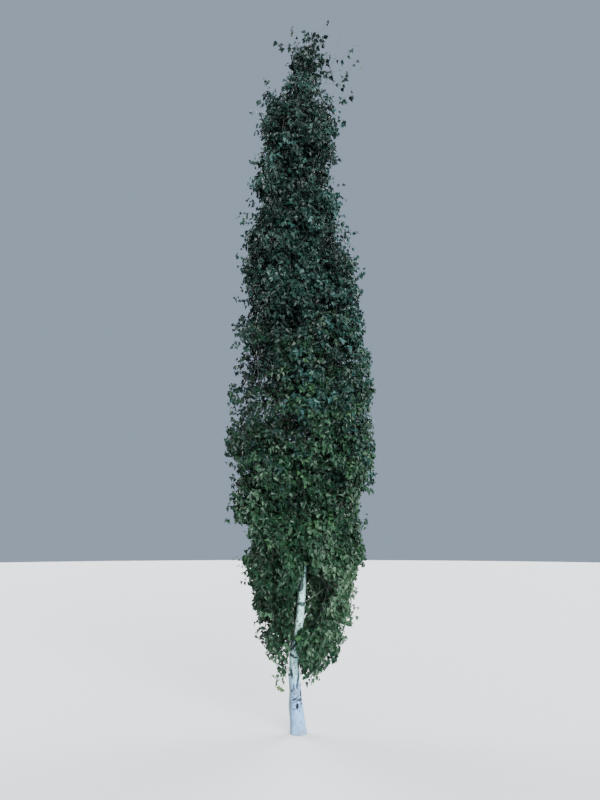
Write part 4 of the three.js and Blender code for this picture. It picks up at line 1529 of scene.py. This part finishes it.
# The dark eye spot low on the trunk's face: centre on the bark and radii.
EYE_SPOT = (-0.0095, -0.05, 0.221)
EYE_SPOT_RADII = (0.0135, 0.03, 0.026)
# Old scars of shed limbs, each an oval ring, in the same way.
SCAR_RINGS = (
    ((-0.06, -0.026, 0.506), (0.0105, 0.03, 0.015)),
    ((-0.0563, -0.03, 0.458), (0.0135, 0.03, 0.024)),
    ((-0.049, -0.039, 0.34), (0.01, 0.03, 0.011)),
)
# Where the spot and the rings fade out, and the rings' hollows end, as shares of their radii.
EYE_EDGE = (0.95, 1.35)
SCAR_EDGE = (1.1, 1.45)
SCAR_HOLLOW = (0.35, 0.8)
SCAR_WITHIN = 0.55
SCAR_STRENGTH = 0.95
RAGGED = 0.4  # how far the rims of these spots and rings stray

BARK_SHINE = 0.2
BARK_ROUGHNESS = 0.5
STAIN_ROUGHER = 0.3
DARK_ROUGHER = 0.35
BARK_DEPTH = 0.0022

# Limbs turn grey above the first heights or this far from the tree's axis, then to young bark.
LIMB_GREY_STARTS = (1.0, 1.06)
LIMB_GREY_ASIDE = (0.12, 0.24)
# The limbs' dark young bark is partly painted shade inside the crown.
LIMB_YOUNG_STARTS = (1.1, 1.35)
LIMB_GREY = 0.9
LIMB_YOUNG = 0.85
LIMB_ROUGHNESS = 0.66
LIMB_DEPTH = 0.0012
PLAIN_SHINE = 0.5


def clean_bark(shader, bark, place, height):
    """White of the trunk: painted bluish shade at the foot, greyer patches, painted shade on the
    left.
    """
    cloud = shader.cloudy(place, CLOUDS)
    # Painted bluish shade at the foot, white above.
    white = shader.mixed(height.between(*FOOT_ENDS), opaque(bark.foot), opaque(bark.white))
    strength = CLOUDS.strength - height.between(*CLOUDS_FADE) * CLOUDS_FADED
    white = shader.mixed(cloud.between(*CLOUDS.edge) * strength, white, opaque(bark.shade))
    # Painted shade on the side of the trunk that faces left: in the stain colour low down, greenish
    # grey higher up.
    facing = shader.part(shader.node("ShaderNodeTexCoord", {}, {}, "Normal"), "X")
    shaded_side = 1 - (facing + cloud * LEFT_RAGGED).between(*LEFT_ENDS)
    painted_low_left_shade = shaded_side * (1 - height.between(*LOW_LEFT_SHADE_ENDS)) * LOW_LEFT_SHADE
    white = shader.mixed(painted_low_left_shade, white, opaque(bark.stain))
    painted_high_left_shade = shaded_side * height.between(*HIGH_LEFT_SHADE_STARTS) * HIGH_LEFT_SHADE
    return shader.mixed(painted_high_left_shade, white, opaque(bark.shaded_left_bark))


def band(height, starts, ends):
    """1 from where a mark starts up to where it ends."""
    return height.between(*starts) * (1 - height.between(*ends))


def scar_rings(shader, place, wave):
    """1 on the ring of each old scar, a little less within."""
    rings = []
    for centre, radii in SCAR_RINGS:
        rim = shader.from_oval(place, centre, radii) + wave * RAGGED
        ring = rim.between(*SCAR_HOLLOW) * (1 - SCAR_WITHIN) + SCAR_WITHIN
        rings.append((1 - rim.between(*SCAR_EDGE)) * ring)
    return reduce(Wire.upto, rings)


def birch_bark(bark):
    """White bark: lenticels, grey stains, scars, dark collars, painted shadows, browner at the thin
    tip.
    """
    shader = Shader("birch_bark")
    place = shader.place()
    height = shader.part(place, "Z")
    colour = clean_bark(shader, bark, place, height)

    stain = shader.cloudy(place, STAINS)
    stained = stain.between(*STAINS.edge) * height.between(*STAINS_START) * STAINS.strength
    colour = shader.mixed(stained, colour, opaque(bark.stain))

    wave = shader.cloudy(place, WAVES)
    dashes = shader.cloudy(place, LENTICELS) + wave * LENTICEL_PATCHES
    lenticels = dashes.between(*LENTICELS.edge)
    colour = shader.mixed(lenticels * LENTICELS.strength, colour, opaque(bark.lenticel))

    where = band(height, *LOW_SPECKS).upto(band(height, *HIGH_SPECKS) * HIGH_SPECKS_SHARE)
    speckled = shader.cloudy(place, SPECKS).between(*SPECKS.edge) * where
    colour = shader.mixed(speckled * SPECKS.strength, colour, opaque(bark.dark))

    scars = scar_rings(shader, place, wave) * SCAR_STRENGTH
    colour = shader.mixed(scars, colour, opaque(bark.stain))
    spot = shader.from_oval(place, EYE_SPOT, EYE_SPOT_RADII) + wave * RAGGED
    eye = 1 - spot.between(*EYE_EDGE)
    # The collar mask also carries the dark marks, a few of them painted leaf shadows.
    collar_marks_and_shadows = shader.node("ShaderNodeAttribute", {"attribute_name": "collar"}, {}, "Fac")
    collar_marks_and_shadows = collar_marks_and_shadows + shader.cloudy(place, COLLARS) * COLLAR_RAGGED - COLLAR_BACK
    dark = eye.upto(collar_marks_and_shadows.between(*COLLARS.edge) * COLLARS.strength)
    colour = shader.mixed(dark, colour, opaque(bark.dark))

    # Inside the crown this darkening is partly young bark and partly painted shade; at the tip it
    # is young bark.
    young_bark_and_shade = height.between(*YOUNG_STARTS) * YOUNG_SHARE + height.between(*TIP_STARTS) * TIP_SHARE
    colour = shader.mixed(young_bark_and_shade, colour, opaque(bark.young_bark_and_shade))

    relief = shader.cloudy(place, CURLS) * CURLS.relief + stain * STAINS.relief
    relief = relief + lenticels * LENTICELS.relief + dark * COLLARS.relief
    shader.emboss(relief + speckled * SPECKS.relief, BARK_DEPTH)
    roughness = BARK_ROUGHNESS + stained * STAIN_ROUGHER + dark * DARK_ROUGHER
    return shader.finish(colour, roughness, BARK_SHINE)


def limb_bark(bark):
    """Pale grey bark of the boughs, with small lenticels, browner where they are thin."""
    shader = Shader("limb_bark")
    place = shader.place()
    height = shader.part(place, "Z")
    clouded = shader.cloudy(place, LIMB_CLOUDS).between(*LIMB_CLOUDS.edge)
    colour = shader.mixed(clouded, opaque(bark.limb), opaque(bark.limb_shade))
    pores = shader.cloudy(place, PORES).between(*PORES.edge)
    colour = shader.mixed(pores * PORES.strength, colour, opaque(bark.lenticel))
    aside = shader.distance(shader.scaled(place, (1.0, 1.0, 0.0)))
    grey = height.between(*LIMB_GREY_STARTS).upto(aside.between(*LIMB_GREY_ASIDE))
    colour = shader.mixed(grey * LIMB_GREY, colour, opaque(bark.limb_shade))
    # Partly painted shade inside the crown.
    young_bark_and_shade = height.between(*LIMB_YOUNG_STARTS) * LIMB_YOUNG
    colour = shader.mixed(young_bark_and_shade, colour, opaque(bark.young_bark_and_shade))
    shader.emboss(shader.cloudy(place, GRAIN) * GRAIN.relief + pores * PORES.relief, LIMB_DEPTH)
    return shader.finish(colour, LIMB_ROUGHNESS, PLAIN_SHINE)


def plain(name, tint, roughness, shine=PLAIN_SHINE):
    """A plain tint, dealt out to whole sprays or lengths of twig."""
    return Shader(name).finish(opaque(tint), roughness, shine)


# Sizes and colours that a user would change.


def colour_setting(name, description, default):
    """A colour property."""
    return FloatVectorProperty(
        name=name, description=description, default=default, subtype="COLOR", min=0.0, max=1.0
    )


def length_setting(name, description, default):
    """A length property."""
    return FloatProperty(name=name, description=description, default=default, unit="LENGTH")


def share_setting(name, description, default):
    """A property that is a share of something."""
    return FloatProperty(name=name, description=description, default=default, subtype="FACTOR")


class BirchBark(bpy.types.PropertyGroup):
    """Bark of the trunk and the boughs."""

    relief: length_setting("Relief", "Height of the bark's unevenness", 0.0022)
    white: colour_setting("White", "Smooth bark of the trunk", (0.32, 0.6072, 0.558))
    # The foot's colour is a painted bluish shade.
    foot: colour_setting("Foot", "Bluish white bark of the trunk's foot", (0.13, 0.26, 0.45))
    shade: colour_setting("Shade", "Greyer patches of the trunk", (0.13, 0.17, 0.2))
    # The stain colour is also painted shade low on the trunk's left side.
    stain: colour_setting("Stain", "Grey stains and old scars", (0.05, 0.075, 0.085))
    # Painted shade on the trunk's left side higher up, greenish grey.
    shaded_left_bark: colour_setting("Painted left shade", "Greenish grey bark on the left", (0.04, 0.058, 0.046))
    lenticel: colour_setting("Lenticel", "Short dark dashes", (0.14, 0.135, 0.13))
    # Also the colour of a few painted leaf shadows on the trunk.
    dark: colour_setting("Dark", "Collars of the forks and the eye spot", (0.005, 0.006, 0.008))
    # Inside the crown this dark colour is partly painted shade.
    young_bark_and_shade: colour_setting("Young", "Young bark in the crown and at the tip", (0.012, 0.018, 0.013))
    limb: colour_setting("Bough", "Pale bark of the boughs", (0.52, 0.62, 0.6))
    limb_shade: colour_setting("Bough shade", "Greyer patches of the boughs", (0.065, 0.08, 0.07))
    # The near-black colours of twigs and stems are partly painted shade inside the foliage.
    twig: colour_setting("Twig", "Bark of the fine twigs", (0.01, 0.013, 0.009))
    stem: colour_setting("Stem", "Bark of the stems inside the foliage", (0.004, 0.009, 0.006))


class BirchFoliage(bpy.types.PropertyGroup):
    """Twigs and leaves."""

    sprays_per_area: IntProperty(
        name="Sprays",
        description="Leafy sprays for each square metre of the crown's side",
        default=770,
    )
    leaf_length: length_setting("Leaf length", "Length of a middling leaf", 0.045)
    leaf_width_share: share_setting("Leaf width", "Width of a leaf beside its length", 0.98)
    leaf_fold: share_setting("Leaf fold", "How steeply a leaf's halves rise", 0.62)
    stalk_length: length_setting("Stalk length", "Length of a leaf's stalk", 0.016)
    # Tints from deepest to light are painted shade and light on one leaf colour.
    tint_1: colour_setting("Deepest", "Leaves in deep shade", (0.0004, 0.007, 0.0053))
    tint_2: colour_setting("Deep", "Dark leaves", (0.0006, 0.0092, 0.0066))
    tint_3: colour_setting("Dark middle", "Darker middling leaves", (0.0013, 0.0123, 0.0087))
    tint_4: colour_setting("Middle", "Middling leaves", (0.0028, 0.0176, 0.0129))
    tint_5: colour_setting("Light middle", "Lighter middling leaves", (0.0055, 0.0281, 0.0224))
    tint_6: colour_setting("Light", "Greyish light leaves", (0.0153, 0.048, 0.0434))
    # These low tints are greener; the bluer tints above are a painted reflection of the sky.
    low_tint_1: colour_setting("Low deepest", "Low leaves in deep shade", (0.0005, 0.0095, 0.0028))
    low_tint_2: colour_setting("Low deep", "Dark low leaves", (0.0017, 0.0138, 0.0052))
    low_tint_3: colour_setting("Low dark middle", "Darkish low leaves", (0.0033, 0.0205, 0.0084))
    low_tint_4: colour_setting("Low middle", "Middling low leaves", (0.0062, 0.0287, 0.0117))
    low_tint_5: colour_setting("Low light middle", "Lighter low leaves", (0.0161, 0.0454, 0.0229))
    low_tint_6: colour_setting("Low light", "Light low leaves", (0.0304, 0.0627, 0.0357))
    fresh_tint: colour_setting("Fresh", "Fresh green leaves", (0.013, 0.044, 0.014))
    yellow_tint: colour_setting("Yellow", "A few yellow-green leaves", (0.036, 0.07, 0.02))


class BirchStage(bpy.types.PropertyGroup):
    """Floor and light."""

    floor: colour_setting("Floor", "Plain pale floor", (0.6, 0.61, 0.62))
    sky: colour_setting("Surroundings", "Soft light from all round", (0.62, 0.77, 0.98))
    sky_strength: FloatProperty(name="Surroundings strength", description="Brightness", default=0.5)
    light_strength: FloatProperty(
        name="Light",
        description="Strength of the key light, in watts on each square metre",
        default=10.8,
    )


class BIRCH_OT_trunk(bpy.types.Operator):
    """Makes the trunk's bark, with its flare, ripples, collars and scars."""

    bl_idname = "birch.trunk"
    bl_label = "Trunk"

    def execute(self, context):
        bark = context.scene.birch_bark
        points, collar = trunk_arrays(bark.relief)
        faces = grid_faces(len(points), TRUNK_SIDES)
        piece = new_piece("trunk_bark", points.reshape(-1, 3), faces, [birch_bark(bark)])
        add_mask(piece, "collar", collar)
        settle(piece, "bark_white", "trunk")
        return {"FINISHED"}


LIMB_SIDES = 12
LIMB_STEP = 0.012
FEWEST_RINGS = 6
LENGTH_POINTS = 12  # along a course, to measure it
LIMB_COLLAR = 0.75  # how much a limb swells where it leaves the trunk
LIMB_COLLAR_LENGTH = 2.2  # of its radius, from the trunk's surface
LIMB_RELIEF_SHARE = 0.5
LIMB_RIPPLES = (7, (20, 160))  # waves round it and along each metre


def limb_arrays(course, base_radius, tip_radius, seed, relief):
    """A tapering limb along its course, swollen at its base and slightly knobbly."""
    points = bent(*course, np.linspace(0, 1, LENGTH_POINTS))
    length = np.linalg.norm(np.diff(points, axis=0), axis=1).sum()
    rings = max(int(length / LIMB_STEP), FEWEST_RINGS)
    t = np.linspace(0, 1, rings)
    beyond = np.maximum(t * length - bark_depth(course[0][2]), 0)
    swell = 1 + LIMB_COLLAR * np.exp(-beyond / (LIMB_COLLAR_LENGTH * base_radius))
    radius = (blend(base_radius, tip_radius, t) * swell)[:, None]
    uneven = ripple(turns_of(LIMB_SIDES), (t * length)[:, None], seed, *LIMB_RIPPLES)
    radius = radius + relief * LIMB_RELIEF_SHARE * uneven
    tube = sweep(bent(*course, t), radius, LIMB_SIDES)
    return tube.reshape(-1, 3), grid_faces(rings, LIMB_SIDES)


def low_shoot_course():
    """The thin shoot that leaves the trunk low on the right and climbs close beside it."""
    tip = around(LOW_SHOOT_TOP, LOW_SHOOT_STAND, LOW_SHOOT_AZIMUTH)
    bend = tip.copy()
    bend[2] = LOW_SHOOT_HEIGHT + LOW_SHOOT_ELBOW
    return limb_root(LOW_SHOOT_HEIGHT, LOW_SHOOT_AZIMUTH), bend, tip


def thin_limb_course(height, azimuth, reach, rise):
    """A thin limb that leaves the trunk and climbs outwards."""
    bend_rise, bend_reach = THIN_LIMB_BEND
    bend_sway, tip_sway = THIN_LIMB_SWAY
    bend = around(height + bend_rise * rise, bend_reach * reach, azimuth + bend_sway)
    tip = around(height + rise, reach, azimuth + tip_sway)
    return limb_root(height, azimuth), bend, tip


class BIRCH_OT_boughs(bpy.types.Operator):
    """Makes the boughs' bark, and the thin limbs low on the trunk."""

    bl_idname = "birch.boughs"
    bl_label = "Boughs"

    def execute(self, context):
        bark = context.scene.birch_bark
        limbs = [(low_shoot_course(), LOW_SHOOT_RADIUS, LOW_SHOOT_RADIUS * BOUGH_TIP_SHARE)]
        for *place, radius in THIN_LIMBS:
            limbs.append((thin_limb_course(*place), radius, THIN_LIMB_TIP_SHARE * radius))
        for mass in CARRIED_MASSES:
            course, _, radius = courses_of(mass)
            limbs.append((course, radius, radius * BOUGH_TIP_SHARE))
        points, faces, start = [], [], 0
        for number, (course, base_radius, tip_radius) in enumerate(limbs):
            corners, triangles = limb_arrays(course, base_radius, tip_radius, number, bark.relief)
            points.append(corners)
            faces.append(triangles + start)
            start += len(corners)
        points, faces = np.concatenate(points), np.concatenate(faces)
        piece = new_piece("bough_bark", points, faces, [limb_bark(bark)])
        nodes = [f"bough_{mass.name}" for mass in CARRIED_MASSES]
        settle(piece, "bark_grey", "low_shoot", *nodes)
        return {"FINISHED"}


STEM_SIDES = 6
STEM_THINNEST = 0.0024
STEM_ROUGHNESS = 0.7
TWIG_SIDES = 3
TWIG_ROUGHNESS = 0.6
SHOOT_RADIUS_SHARE = 0.55  # of the thinnest twig's


def twig_arrays(mass, foliage):
    """Corners, triangles and material numbers of a mass's stem, twigs and leafy shoots."""
    wood = wood_of(mass, foliage.sprays_per_area)
    random = np.random.default_rng(mass.seed + LEAF_SEED)
    shoot, length, _ = shoots_of(mass, wood, random)
    ends = wood.points[wood.tips] + shoot * length[:, None]
    points = np.concatenate([wood.points, ends])
    parent = np.concatenate([wood.parent, wood.tips])
    radius = np.concatenate([wood.radius, np.full(len(ends), SHOOT_RADIUS_SHARE * TIP_RADIUS)])
    thick = radius > STEM_THINNEST
    stem_points, stem_faces = tube_arrays(points, parent, radius, STEM_SIDES, thick)
    fine_points, fine_faces = tube_arrays(points, parent, radius, TWIG_SIDES, ~thick)
    faces = np.concatenate([stem_faces, fine_faces + len(stem_points)])
    material = np.repeat([0, 1], [len(stem_faces), len(fine_faces)])
    return np.concatenate([stem_points, fine_points]), faces, material


class BIRCH_OT_twigs(bpy.types.Operator):
    """Grows the stem and twigs of every mass of foliage."""

    bl_idname = "birch.twigs"
    bl_label = "Twigs"

    def execute(self, context):
        bark, foliage = context.scene.birch_bark, context.scene.birch_foliage
        materials = [
            plain("stem_bark", bark.stem, STEM_ROUGHNESS),
            plain("twig_bark", bark.twig, TWIG_ROUGHNESS),
        ]
        for mass in ALL_MASSES:
            points, faces, material = twig_arrays(mass, foliage)
            piece = new_piece(f"twigs_of_{mass.name}", points, faces, materials, material)
            settle(piece, "bark_grey", f"leaves_{mass.name}")
        return {"FINISHED"}


class BIRCH_OT_leaves(bpy.types.Operator):
    """Hangs the leaves of every mass on its shoots, in sprays of one tint."""

    bl_idname = "birch.leaves"
    bl_label = "Leaves"

    def execute(self, context):
        foliage = context.scene.birch_foliage
        tints = [
            plain(f"leaf_{name}", getattr(foliage, name), LEAF_ROUGHNESS, LEAF_SHINE)
            for name in TINTS
        ]
        for mass in ALL_MASSES:
            points, faces, tint = leaf_arrays(leaves_of(mass, foliage), foliage)
            piece = new_piece(f"leaves_of_{mass.name}", points, faces, tints, tint)
            settle(piece, "leaves", f"leaves_{mass.name}")
        return {"FINISHED"}


FLOOR_REACH = 45.0
FLOOR_SIDES = 96
FLOOR_ROUGHNESS = 0.9
# Each light: its heading, height and softness in degrees, and its share of the strength.
LIGHTS = {
    "key": (293, 14, 38, 1.0),
    "fill": (277, 7, 16, 0.2),
    "left": (140, 25, 50, 0.6),
    "right": (40, 25, 50, 0.6),
    "top": (250, 75, 90, 0.12),
}


class BIRCH_OT_stage(bpy.types.Operator):
    """Sets the floor, the soft light and the camera."""

    bl_idname = "birch.stage"
    bl_label = "Stage"

    def execute(self, context):
        settings = context.scene.birch_stage
        self.add_floor(settings)
        self.add_light(context, settings)
        self.add_camera(context)
        return {"FINISHED"}

    def add_floor(self, settings):
        """A plain pale floor."""
        turn = turns_of(FLOOR_SIDES)
        points = np.stack([np.cos(turn), np.sin(turn), 0 * turn], axis=1) * FLOOR_REACH
        step = np.arange(1, FLOOR_SIDES - 1)
        faces = np.stack([0 * step, step, step + 1], axis=1)
        paint = plain("floor_paint", settings.floor, FLOOR_ROUGHNESS)
        new_piece("floor", points, faces, [paint])

    def add_light(self, context, settings):
        """Soft light from all round, and a few soft lights from afar."""
        world = bpy.data.worlds.new("surroundings")
        world.use_nodes = True
        background = world.node_tree.nodes["Background"]
        background.inputs["Color"].default_value = opaque(settings.sky)
        background.inputs["Strength"].default_value = settings.sky_strength
        context.scene.world = world
        for name, (heading, rise, spread, share) in LIGHTS.items():
            data = bpy.data.lights.new(f"{name}_light", "SUN")
            data.energy = settings.light_strength * share
            data.angle = math.radians(spread)
            light = bpy.data.objects.new(f"{name}_light", data)
            light.rotation_euler = (math.radians(90 - rise), 0, math.radians(heading + 90))
            context.scene.collection.objects.link(light)

    def add_camera(self, context):
        """The camera where the photograph was taken from."""
        data = bpy.data.cameras.new("camera")
        data.lens = CAMERA_LENS
        data.sensor_width = CAMERA_SENSOR
        camera = bpy.data.objects.new("camera", data)
        camera.location = CAMERA_PLACE
        camera.rotation_euler = (math.radians(90 + CAMERA_PITCH), 0, 0)
        context.scene.collection.objects.link(camera)
        context.scene.camera = camera


class BIRCH_PT_panel(bpy.types.Panel):
    """Lists the steps and their settings in the sidebar."""

    bl_label = "Birch"
    bl_idname = "BIRCH_PT_panel"
    bl_space_type = "VIEW_3D"
    bl_region_type = "UI"
    bl_category = "Birch"

    def draw(self, context):
        for operator in OPERATORS:
            self.layout.operator(operator.bl_idname)
        for name in SETTINGS:
            box = self.layout.box()
            group = getattr(context.scene, name)
            for setting in group.bl_rna.properties:
                if setting.identifier not in ("name", "rna_type"):
                    box.prop(group, setting.identifier)


SETTINGS = {"birch_bark": BirchBark, "birch_foliage": BirchFoliage, "birch_stage": BirchStage}
OPERATORS = (BIRCH_OT_stage, BIRCH_OT_trunk, BIRCH_OT_boughs, BIRCH_OT_twigs, BIRCH_OT_leaves)


def register():
    """Adds the settings, operators and panel to Blender."""
    for name, group in SETTINGS.items():
        bpy.utils.register_class(group)
        setattr(bpy.types.Scene, name, PointerProperty(type=group))
    for member in (*OPERATORS, BIRCH_PT_panel):
        bpy.utils.register_class(member)


def unregister():
    """Takes them away again."""
    for member in reversed((*OPERATORS, BIRCH_PT_panel)):
        bpy.utils.unregister_class(member)
    for name, group in reversed(SETTINGS.items()):
        delattr(bpy.types.Scene, name)
        bpy.utils.unregister_class(group)


def main():
    """Makes the whole tree on its stage."""
    register()
    bpy.ops.birch.stage()
    bpy.ops.birch.trunk()
    bpy.ops.birch.boughs()
    bpy.ops.birch.twigs()
    bpy.ops.birch.leaves()


if __name__ == "__main__":
    main()
